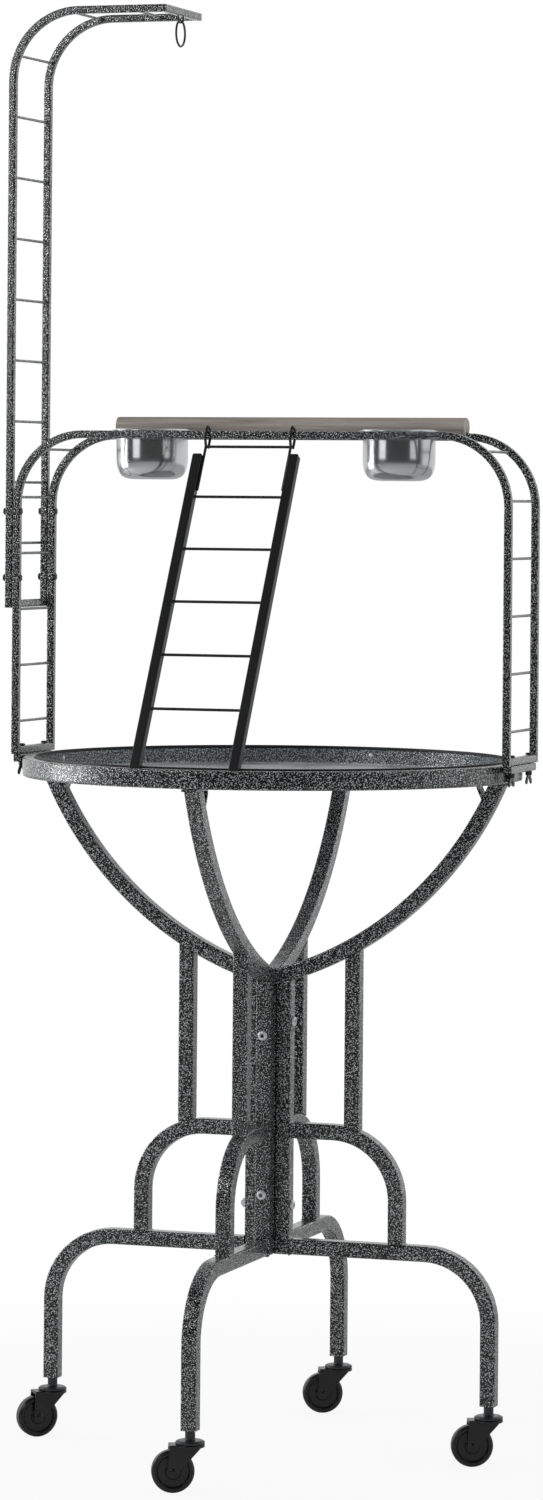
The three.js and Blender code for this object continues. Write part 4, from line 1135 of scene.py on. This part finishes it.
def cheek_outline(caster, trail):
    """Outline of a fork's cheek seen from the side: from the crown down to a round boss about the axle."""
    top = caster.wheel + caster.crown_clear + caster.cheek_sunk
    back = -math.sqrt((caster.crown / 2) ** 2 - (cheek_face(caster) + caster.plate) ** 2)
    circle = on_circle(np.linspace(math.pi, 2 * math.pi, 14))
    boss = np.array([trail, caster.wheel / 2]) + caster.boss * circle
    corners = np.concatenate([[(caster.crown_reach, top), (back, top)], boss])
    return rounded_outline(corners, caster.cheek_corner, 2)


def axle_profile(caster):
    """Radius and height of the axle, which runs between two domed rivet heads."""
    dome, dip = 0.55, 0.0002
    inside = cheek_face(caster)
    outside = inside + caster.plate
    end, head = outside + caster.rivet_height, caster.rivet / 2
    return mirrored([(0, end), (head * dome, end - dip), (head, outside - dip), (caster.axle / 2, inside)])


def wheel_profile(caster):
    """Radius and height of a wheel from its bore over the hub, the dish and the rim to the tread, on both
    sides."""
    slope = 0.001
    radius, half, hub = caster.wheel / 2, caster.width / 2, caster.hub / 2
    rim = radius - caster.rim
    return mirrored(
        [
            (caster.bore / 2, half),
            (hub, half),
            (hub + slope, half - caster.dish),
            (rim - slope, half - caster.dish),
            (rim, half),
            (radius - caster.shoulder_depth, half),
            (radius, half - caster.shoulder),
        ]
    )


class PLAYSTAND_OT_casters(bpy.types.Operator):
    """Stems, forks and wheels of the four casters"""

    bl_idname = "playstand.casters"
    bl_label = "Casters"

    def execute(self, context):
        sizes = context.scene.play_stand
        caster, tube = sizes.caster, sizes.tube
        plug_side = tube.big - 2 * tube.big_wall - 2 * tube.gap
        plug_outline = rectangle_outline(plug_side, plug_side, caster.plug_corner)
        plug = straight(plug_outline, (0, 0, LEG_FOOT + tube.gap), (0, 0, LEG_FOOT + caster.plug), X, Y)
        crown = plate(crown_outline(caster), caster.crown_thickness, caster.crown_edge)
        crown_height = caster.wheel + caster.crown_clear + caster.crown_thickness / 2
        wheel = turned(rounded_outline(wheel_profile(caster), caster.wheel_edge, 3), 72)
        for side in SIDES:
            swivel, yaw, trail = caster_places(side)
            upright = moved(swivel[0], swivel[1], 0)
            fork_place = upright @ turn_z(yaw)
            axle_place = fork_place @ moved(trail, 0, caster.wheel / 2) @ LAID_BACK
            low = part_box(f"caster_stem_{side}")[0].z

            stem = Surface().lathe(stem_profile(caster, tube, low), caster.edge, upright, around=48, steps=2)
            stem.add(capped(plug), matrix=upright)
            stem.skin(f"caster_stem_{side}", "stand", "caster_steel")

            fork = Surface().add(capped(crown), matrix=fork_place @ moved(0, 0, crown_height))
            cheek = plate(cheek_outline(caster, trail), caster.plate, caster.edge)
            for hand in (-1, 1):
                stood = moved(0, hand * (cheek_face(caster) + caster.plate / 2), 0) @ LAID_BACK
                fork.add(capped(cheek), matrix=fork_place @ stood)
            fork.lathe(axle_profile(caster), caster.rivet_edge, axle_place, around=28)
            fork.skin(f"caster_fork_{side}", f"swivel_{side}", "caster_black")

            surface = Surface().add(wheel, rows_closed=True, matrix=axle_place)
            surface.skin(f"caster_wheel_{side}", f"wheel_{side}", "wheel_black")
        return {"FINISHED"}


# Tray


def block(low, high, edge):
    """A bar between two corners with rounded long edges: its YZ outline run along X."""
    low, high = np.asarray(low, float), np.asarray(high, float)
    size, centre = high - low, (low + high) / 2
    outline = rectangle_outline(size[1], size[2], edge, 3)
    grid = plate(outline, size[0], min(edge, size[0] / 3))
    return capped(np.roll(grid, 1, axis=-1) + centre)


class PLAYSTAND_OT_tray(bpy.types.Operator):
    """Tray ring with its lug bars, the pan with a black edging that paints the gap's shade, and the pan's
    screws
    """

    bl_idname = "playstand.tray"
    bl_label = "Tray"

    def execute(self, context):
        sizes = context.scene.play_stand
        tube, tray = sizes.tube, sizes.tray
        around = 192
        here = column_place()
        top = ring_top(sizes)
        lug = lug_reach(sizes)

        middle = np.array([tray.radius - tray.width / 2, RING_FOOT + tray.height / 2])
        outline = rectangle_outline(tray.width, tray.height, tray.corner, 5) + middle
        ring = Surface().add(turned(outline, around), rows_closed=True, matrix=here)
        for hand in (-1, 1):
            near, far = sorted((hand * (tray.radius - tray.tab_root), hand * (lug - tube.small / 2 + SUNK)))
            low = (near, -tray.tab_half, top - tray.tab_foot)
            high = (far, tray.tab_half, top - tray.tab_top)
            ring.add(block(low, high, tray.tab_edge), matrix=here)
            ring.add(bar_y(tube, hand * lug, LUG_TOP - tube.small / 2, tray.lug_half), matrix=here)
        ring.skin("tray_ring", "stand", "hammertone")

        radius = tray.radius - tray.width - tray.pan_gap
        inner = radius - tray.pan_wall
        floor = RING_FOOT + tray.pan_wall
        edge = top - tray.pan_sink
        outside = [(0, RING_FOOT), (radius, RING_FOOT), (radius, edge)]
        profile = outside + [(inner, edge), (inner, floor), (0, floor)]
        bends = (0, tray.pan_corner, tray.pan_edge, tray.pan_edge, tray.pan_corner - tray.pan_wall, 0)
        Surface().lathe(profile, bends, here, around, steps=6).skin("tray_pan", "stand", "pan_grey")

        # Black edging on the pan's edge: painted shade that stands in for the shadowed gap between ring and
        # pan
        high = top + tray.shade_edging_lip
        near, far = inner - tray.shade_edging_lap, radius + tray.pan_gap / 2
        corners = [(near, edge), (far, edge), (far, high), (near, high)]
        section = rounded_outline(corners, (0, 0, tray.shade_edging_edge, tray.shade_edging_edge), 4)
        shade_edging = Surface().add(turned(section, around), rows_closed=True, matrix=here)
        shade_edging.piece("pan_edging", "stand", [], "ladder_black")

        dome, shoulder, rim, sunk = 0.0013, 0.0012, 0.0003, -0.0002
        head, flat = tray.screw / 2, tray.screw * 0.3
        profile = [(0, dome), (flat, shoulder), (head, rim), (head, sunk), (0, sunk)]
        screws = Surface()
        for quarter in range(4):
            turn = turn_z(tray.screw_turn + quarter * math.pi / 2)
            inwards = along_x(inner, 0, RING_FOOT + tray.screw_height, -1)
            screws.lathe(profile, tray.screw_edge, here @ turn @ inwards)
        screws.piece("pan_screws", "stand", [], "zinc")
        return {"FINISHED"}


# Arch


class PLAYSTAND_OT_arch(bpy.types.Operator):
    """The arch: two bent rails, rungs, foot bars and the cups' hoops, and the wing bolts that hold it"""

    bl_idname = "playstand.arch"
    bl_label = "Arch"

    def execute(self, context):
        sizes = context.scene.play_stand
        tube, arch, cups = sizes.tube, sizes.arch, sizes.cups
        here = column_place()
        bar, reach, half = arch_bar(sizes), lug_reach(sizes), rung_half(sizes)
        corners = [(-reach, ARCH_FOOT), (-reach, bar), (reach, bar), (reach, ARCH_FOOT)]
        route = bent_route(corners, arch.bend, 16)
        surface = Surface()
        rails(surface, sizes, route, here)
        for hand in (-1, 1):
            surface.add(bar_y(tube, hand * reach, ARCH_FOOT + tube.small / 2, half), matrix=here)
        for x, z in points_along(route, arch.rung_start + arch.rung_pitch * np.arange(arch.rung_count)):
            for hand in (-1, 1):
                surface.add(rung_y(tube, hand * x, z, half), matrix=here)
        hoop_radius = cups.width / 2 + arch.hoop_clear + arch.hoop / 2
        rung_height = bar - arch.hoop_drop
        hoop_height = rung_height + tube.rung / 2 + arch.hoop / 2 - SUNK
        hoop = turned(circle_outline(arch.hoop, 14) + np.array([hoop_radius, hoop_height]), 96)
        for hand in (-1, 1):
            surface.add(hoop, rows_closed=True, matrix=here @ moved(hand * cups.reach, cups.back, 0))
            for edge in (-1, 1):
                x = hand * cups.reach + edge * hoop_radius
                surface.add(rung_y(tube, x, rung_height, half), matrix=here)
        surface.piece("arch_skin", "stand", ["arch_frame"], "hammertone")
        self.wing_bolts(sizes, here, reach)
        return {"FINISHED"}

    def wing_bolts(self, sizes, here, reach):
        """Bolts down through the foot bars, each with a wing nut: a hub turned round Z and two wings as
        plates, whose outlines run round a circle about the wing's end."""
        tube, wings = sizes.tube, sizes.wings
        top = ARCH_FOOT + tube.small + tube.gap
        nut = top - 2 * tube.small - 3 * tube.gap
        foot = nut - wings.nut_height
        profile = [
            (0, foot),
            (wings.nut_foot / 2, foot),
            (wings.nut / 2, nut),
            (wings.bolt / 2, nut),
            (wings.bolt / 2, top),
            (wings.head / 2, top),
            (wings.head / 2, top + wings.head_rim),
            (wings.head / 3, top + wings.head_height),
            (0, top + wings.head_height),
        ]
        lower_turn, upper_turn = -0.7 * math.pi, 0.2 * math.pi
        circle = on_circle(np.linspace(lower_turn, upper_turn, 12))
        tip = np.array([wings.wing_reach, nut - wings.wing_drop]) + wings.wing_round * circle
        root = nut - tube.gap
        wing = np.concatenate([[(0.0, foot)], tip, [(wings.wing_root, root), (0.0, root)]])
        for hand, side in ((-1, "left"), (1, "right")):
            for end, name in ((-1, "front"), (1, "back")):
                spot = here @ moved(hand * reach, end * sizes.arch.bolt_offset, 0)
                surface = Surface().lathe(profile, wings.edge, spot, steps=2)
                for way in (-1, 1):
                    stood = turn_z(way * math.pi / 2) @ LAID_BACK
                    surface.add(capped(plate(wing, wings.wing, wings.wing_edge)), matrix=spot @ stood)
                surface.skin(f"wing_bolt_{side}_{name}", "stand", "caster_steel")


# Perch and cups


class PLAYSTAND_OT_perch(bpy.types.Operator):
    """The wooden perch with the groove that sits on the back rail"""

    bl_idname = "playstand.perch"
    bl_label = "Perch"

    def execute(self, context):
        sizes = context.scene.play_stand
        tube, perch = sizes.tube, sizes.perch
        centre = middle_of("perch")
        radius, half = perch.thickness / 2, perch.span / 2
        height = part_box("perch")[1].z - radius
        notch = tube.small / 2 + tube.gap
        floor = perch.groove - radius
        start = -math.acos(notch / radius)
        arc = radius * on_circle(np.linspace(start, math.pi - start, 56))
        outline = np.concatenate([arc, [(-notch, floor), (notch, floor)]])
        drawn = 1 - perch.chamfer / radius
        edge = perch.chamfer / perch.span
        curve = np.linspace(0, np.pi / 2, 5)
        ends = [(edge * (1 - np.sin(a)), drawn + (1 - drawn) * np.cos(a)) for a in curve[::-1]]
        scales = ends + [(1 - s, w) for s, w in ends[::-1]]
        low, far = (centre[0] - half, centre[1], height), (centre[0] + half, centre[1], height)
        grid = capped(straight(outline, low, far, Y, Z, scales))
        Surface().add(grid).piece("perch_wood", "stand", ["perch"], "perch_wood")
        return {"FINISHED"}


class PLAYSTAND_OT_cups(bpy.types.Operator):
    """The two spun cups"""

    bl_idname = "playstand.cups"
    bl_label = "Cups"

    def execute(self, context):
        cups = context.scene.play_stand.cups
        radius, sheet = cups.width / 2, cups.sheet
        flange = radius + cups.flange
        bend = cups.corner * 0.9
        foot = radius - cups.corner * 0.6
        for side in ("left", "right"):
            low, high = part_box(f"cup_{side}")
            centre = (low + high) / 2
            rim = high.z
            seat = rim - cups.lip
            flange_top = seat + cups.flange_thickness
            bottom = rim - cups.height
            profile, bends = zip(
                ((0, bottom), 0),
                ((foot, bottom), bend),
                ((radius, bottom + bend), bend),
                ((radius, seat), cups.seat_bend),
                ((flange, seat), cups.flange_edge),
                ((flange, flange_top), cups.flange_edge),
                ((radius + sheet, flange_top), cups.rim_bend),
                ((radius, rim), cups.rim_edge),
                ((radius - sheet, rim), cups.rim_edge),
                ((radius - sheet, bottom + bend), bend),
                ((foot - sheet, bottom + sheet), bend),
                ((0, bottom + sheet), 0),
            )
            surface = Surface().lathe(profile, bends, moved(centre.x, centre.y, 0), around=96, steps=8)
            surface.skin(f"cup_{side}", f"cup_{side}", "polished_steel", crease=50.0)
        return {"FINISHED"}


# Hanging arm and toy ring


class PLAYSTAND_OT_hanging_arm(bpy.types.Operator):
    """The hanging arm with its rungs, end bar and staple, its bolts, and the toy ring"""

    bl_idname = "playstand.hanging_arm"
    bl_label = "Hanging arm"

    def execute(self, context):
        sizes = context.scene.play_stand
        tube, arch, hanger = sizes.tube, sizes.arch, sizes.hanger
        here = column_place()
        half = rung_half(sizes)
        back = lug_reach(sizes) + tube.small + tube.gap
        bar = HANGER_FOOT + hanger.height
        tip = hanger.reach - back
        route = bent_route([(-back, HANGER_FOOT), (-back, bar), (tip, bar)], arch.bend, 16)
        surface = Surface()
        rails(surface, sizes, route, here)
        upright_rungs = hanger.rung_start + hanger.rung_pitch * np.arange(hanger.rung_count)
        for x, z in points_along(route, np.append(upright_rungs, [hanger.bend_rung, hanger.top_rung])):
            surface.add(rung_y(tube, x, z, half), matrix=here)
        end_bar = tip + tube.small / 2 - SUNK
        surface.add(bar_y(tube, end_bar, bar, arch.spread + tube.small / 2), matrix=here)
        surface.add(bar_y(tube, -back, HANGER_FOOT + tube.small / 2, half), matrix=here)
        top = bar - tube.small / 2 + SUNK
        lowest = bar - tube.small / 2 - hanger.staple_drop
        left, right = end_bar - hanger.staple_half, end_bar + hanger.staple_half
        corners = [(left, top), (left, lowest), (right, lowest), (right, top)]
        staple = carried(circle_outline(hanger.staple), bent_route(corners, hanger.staple_bend, 8))
        surface.add(capped(staple), matrix=here)
        surface.skin("hanging_arm", "stand", "hammertone")

        grip = 2 * tube.small + 3 * tube.gap
        head, socket = (hanger.bolt_head, hanger.bolt_height), (hanger.bolt_socket, hanger.bolt_socket_depth)
        under_head = grip - back - tube.small / 2 - tube.gap
        for hand, name in ((-1, "front"), (1, "back")):
            for number, height in ((1, hanger.bolt_low), (2, hanger.bolt_high)):
                spot = here @ along_x(under_head, hand * arch.spread, HANGER_FOOT + height, -1)
                bolt = through_bolt(grip, hanger.bolt, head, socket, hanger.bolt_nut, hanger.bolt_tail, spot)
                bolt.skin(f"hanger_bolt_{name}_{number}", "stand", "caster_steel")

        ring_radius = (hanger.toy_ring - hanger.toy_wire) / 2
        ring = turned(circle_outline(hanger.toy_wire, 14) + np.array([ring_radius, 0]), 72)
        toy_ring = Surface().add(ring, rows_closed=True, matrix=along_x(*middle_of("toy_ring")))
        toy_ring.skin("toy_ring", "toy_ring", "caster_steel")
        return {"FINISHED"}


# Ladder


class PLAYSTAND_OT_ladder(bpy.types.Operator):
    """The ladder with its wire hooks, leaned from the front rail onto the tray ring"""

    bl_idname = "playstand.ladder"
    bl_label = "Ladder"

    def execute(self, context):
        sizes = context.scene.play_stand
        tube, tray, arch, ladder = sizes.tube, sizes.tray, sizes.arch, sizes.ladder
        bar = arch_bar(sizes)
        lean = math.atan2(tray.radius - ladder.inset - arch.spread, arch.height)
        leaned = column_place() @ moved(0, -arch.spread, bar) @ Matrix.Rotation(-lean, 4, "X")
        surface = Surface()

        outline = rectangle_outline(ladder.rail, ladder.rail, ladder.corner)
        foot = (ring_top(sizes) + tube.gap - bar + outline[:, 1] * math.sin(lean)) / math.cos(lean)
        curve = np.linspace(0, np.pi / 2, 6)[:, None]
        drawn = 1 - ladder.end_edge * (1 - np.cos(curve)) / (ladder.rail / 2)
        heights = -ladder.rail_start - ladder.end_edge * (1 - np.sin(curve))
        for x in (ladder.left, ladder.right):
            rail = stacked(x + outline[:, 0], outline[:, 1], foot[None])
            end = stacked(x + drawn * outline[:, 0], drawn * outline[:, 1], heights)
            surface.add(capped(np.concatenate([rail, end])), matrix=leaned)

        middle = (ladder.left + ladder.right) / 2
        inner_half = (ladder.right - ladder.left - ladder.rail) / 2
        across = leaned @ moved(middle, 0, 0) @ turn_z(-math.pi / 2)
        for number in range(ladder.rung_count):
            height = -ladder.rung_start - number * ladder.rung_pitch
            surface.add(rung_y(tube, 0, height, inner_half + SUNK), matrix=across)

        reach = ladder.hook_reach
        corners = [
            (0, -ladder.hook_shank),
            (0, -ladder.hook_bar),
            (-reach, -reach),
            (-reach, reach),
            (reach, reach),
            (reach, -ladder.hook_tail),
        ]
        hook = capped(carried(circle_outline(tube.rung), bent_route(corners, ladder.hook_bend, 8)))
        hook_offset = inner_half - tube.rung / 2 + SUNK
        for hand in (-1, 1):
            spot = moved(middle + hand * hook_offset, 0, 0) @ turn_z(math.pi / 2)
            surface.add(hook, matrix=leaned @ spot)
        surface.add(rung_y(tube, 0, -ladder.hook_bar, hook_offset), matrix=across)
        surface.skin("ladder", "ladder", "ladder_black")
        return {"FINISHED"}


# Studio


def add_object(name, data):
    """An object of the scene that holds this mesh, lamp or camera."""
    obj = bpy.data.objects.new(name, data)
    bpy.context.scene.collection.objects.link(obj)
    return obj


# Each lamp's name, the studio's value that holds its power, its place, and its width and height in metres
LAMPS = (
    ("left lamp", "left", (-3.1, -0.35, 1.45), (1.5, 2.4)),
    ("front lamp", "front", (-1.75, -2.55, 2.05), (1.2, 1.7)),
    ("small lamp", "spark", (-1.7, -2.45, 2.4), (0.3, 0.3)),
    ("right lamp", "right", (2.8, -1.25, 2.05), (1.3, 1.7)),
)


def add_lamp(name, power, spot, size):
    """A rectangular lamp of this width and height at a spot, turned level towards the stand."""
    data = bpy.data.lights.new(name, "AREA")
    data.energy = power
    data.shape = "RECTANGLE"
    data.size, data.size_y = size
    lamp = add_object(name, data)
    lamp.location = spot
    lamp.rotation_mode = "QUATERNION"
    lamp.rotation_quaternion = Vector((-spot[0], -spot[1], 0)).to_track_quat("-Z", "Y")


def floor_finish(finish, studio):
    """The floor takes light and shade as a dull surface, and what the camera sees of it runs into white
    with the distance from the stand."""
    nearest, dullness = 0.9, 0.9
    away = finish.node("ShaderNodeVectorMath", {"operation": "LENGTH"}, {0: finish.coordinates()})
    distance = Value(finish, away.outputs["Value"])
    whiteness = finish.eased(distance, studio.floor_near, studio.floor_far, nearest, 1.0)
    rays = finish.node("ShaderNodeLightPath")
    seen = Value(finish, rays.outputs["Is Camera Ray"])
    shade = finish.node("ShaderNodeBsdfPrincipled", None, {"Base Color": studio.floor, "Roughness": dullness})
    white = finish.node("ShaderNodeEmission", None, {"Color": WHITE, "Strength": 1.0})
    shares = {0: seen * whiteness, 1: shade.outputs[0], 2: white.outputs[0]}
    mixed = finish.node("ShaderNodeMixShader", None, shares)
    finish.node("ShaderNodeOutputMaterial", None, {"Surface": mixed.outputs[0]})


def world_light(finish, studio):
    """White to the camera and through clear things, even light from all round, and in reflections a bright
    backdrop that runs into a dark room on the camera's side."""
    dark_until, bright_from = -0.1, 0.25
    generated = finish.node("ShaderNodeTexCoord").outputs["Generated"]
    way = finish.along(generated, "Y")
    behind = finish.eased(way, dark_until, bright_from, studio.before, studio.behind)
    rays = finish.node("ShaderNodeLightPath")
    kinds = ("Is Camera Ray", "Is Glossy Ray", "Is Transmission Ray")
    seen, glossy, through = (Value(finish, rays.outputs[kind]) for kind in kinds)
    plain = 1 - (seen + glossy + through)
    strength = seen + glossy * behind + through + plain * studio.world
    light = finish.node("ShaderNodeBackground", None, {"Color": WHITE, "Strength": strength})
    finish.node("ShaderNodeOutputWorld", None, {"Surface": light.outputs[0]})


class PLAYSTAND_OT_studio(bpy.types.Operator):
    """Floor, light, world and camera"""

    bl_idname = "playstand.studio"
    bl_label = "Studio"

    def execute(self, context):
        scene = context.scene
        studio = scene.play_stand.studio
        scene.view_settings.view_transform = "Standard"

        mesh = bpy.data.meshes.new("floor")
        ring = np.pad(circle_outline(2 * studio.floor_radius, 96), ((0, 0), (0, 1)))
        mesh.from_pydata(ring, [], [range(len(ring))])
        material = bpy.data.materials.new("floor")
        floor_finish(Finish(material), studio)
        mesh.materials.append(material)
        add_object("floor", mesh)

        scene.world = bpy.data.worlds.new("studio")
        world_light(Finish(scene.world), studio)
        for name, power, spot, size in LAMPS:
            add_lamp(name, getattr(studio, power), spot, size)

        data = bpy.data.cameras.new("camera")
        data.lens = studio.lens
        data.sensor_width = 36
        data.shift_x, data.shift_y = studio.shift_x, studio.shift_y
        data.clip_end = 100
        scene.camera = add_object("camera", data)
        spot = moved(studio.camera_x, studio.camera_y, studio.camera_z)
        turns = turn_z(studio.camera_turn) @ LAID_BACK @ turn_z(studio.camera_roll)
        scene.camera.matrix_world = spot @ turns
        return {"FINISHED"}


OPERATORS = (
    PLAYSTAND_OT_studio,
    PLAYSTAND_OT_quarter_frames,
    PLAYSTAND_OT_straps,
    PLAYSTAND_OT_column_bolts,
    PLAYSTAND_OT_casters,
    PLAYSTAND_OT_tray,
    PLAYSTAND_OT_arch,
    PLAYSTAND_OT_perch,
    PLAYSTAND_OT_cups,
    PLAYSTAND_OT_hanging_arm,
    PLAYSTAND_OT_ladder,
)


class PLAYSTAND_PT_panel(bpy.types.Panel):
    """The play stand's pieces, sizes and colours"""

    bl_idname = "PLAYSTAND_PT_panel"
    bl_label = "Play stand"
    bl_space_type = "VIEW_3D"
    bl_region_type = "UI"
    bl_category = "Play stand"

    def draw(self, context):
        for operator in OPERATORS:
            self.layout.operator(operator.bl_idname)
        sizes = context.scene.play_stand
        for group in sizes.bl_rna.properties.keys():
            held = getattr(sizes, group)
            if isinstance(held, bpy.types.PropertyGroup):
                box = self.layout.box()
                box.label(text=group.replace("_", " ").capitalize())
                for name in held.__annotations__:
                    box.prop(held, name)


GROUPS = (
    TubeStock,
    FloorStand,
    ColumnBolts,
    Casters,
    Tray,
    WingBolts,
    Arch,
    Perch,
    Cups,
    HangingArm,
    Ladder,
    Finishes,
    Studio,
    PlayStand,
)
CLASSES = GROUPS + OPERATORS + (PLAYSTAND_PT_panel,)


def register():
    for kind in CLASSES:
        bpy.utils.register_class(kind)
    bpy.types.Scene.play_stand = PointerProperty(type=PlayStand)


def unregister():
    del bpy.types.Scene.play_stand
    for kind in reversed(CLASSES):
        bpy.utils.unregister_class(kind)


def main():
    """Makes every piece in order."""
    register()
    for operator in OPERATORS:
        group, name = operator.bl_idname.split(".")
        getattr(getattr(bpy.ops, group), name)()


if __name__ == "__main__":
    main()
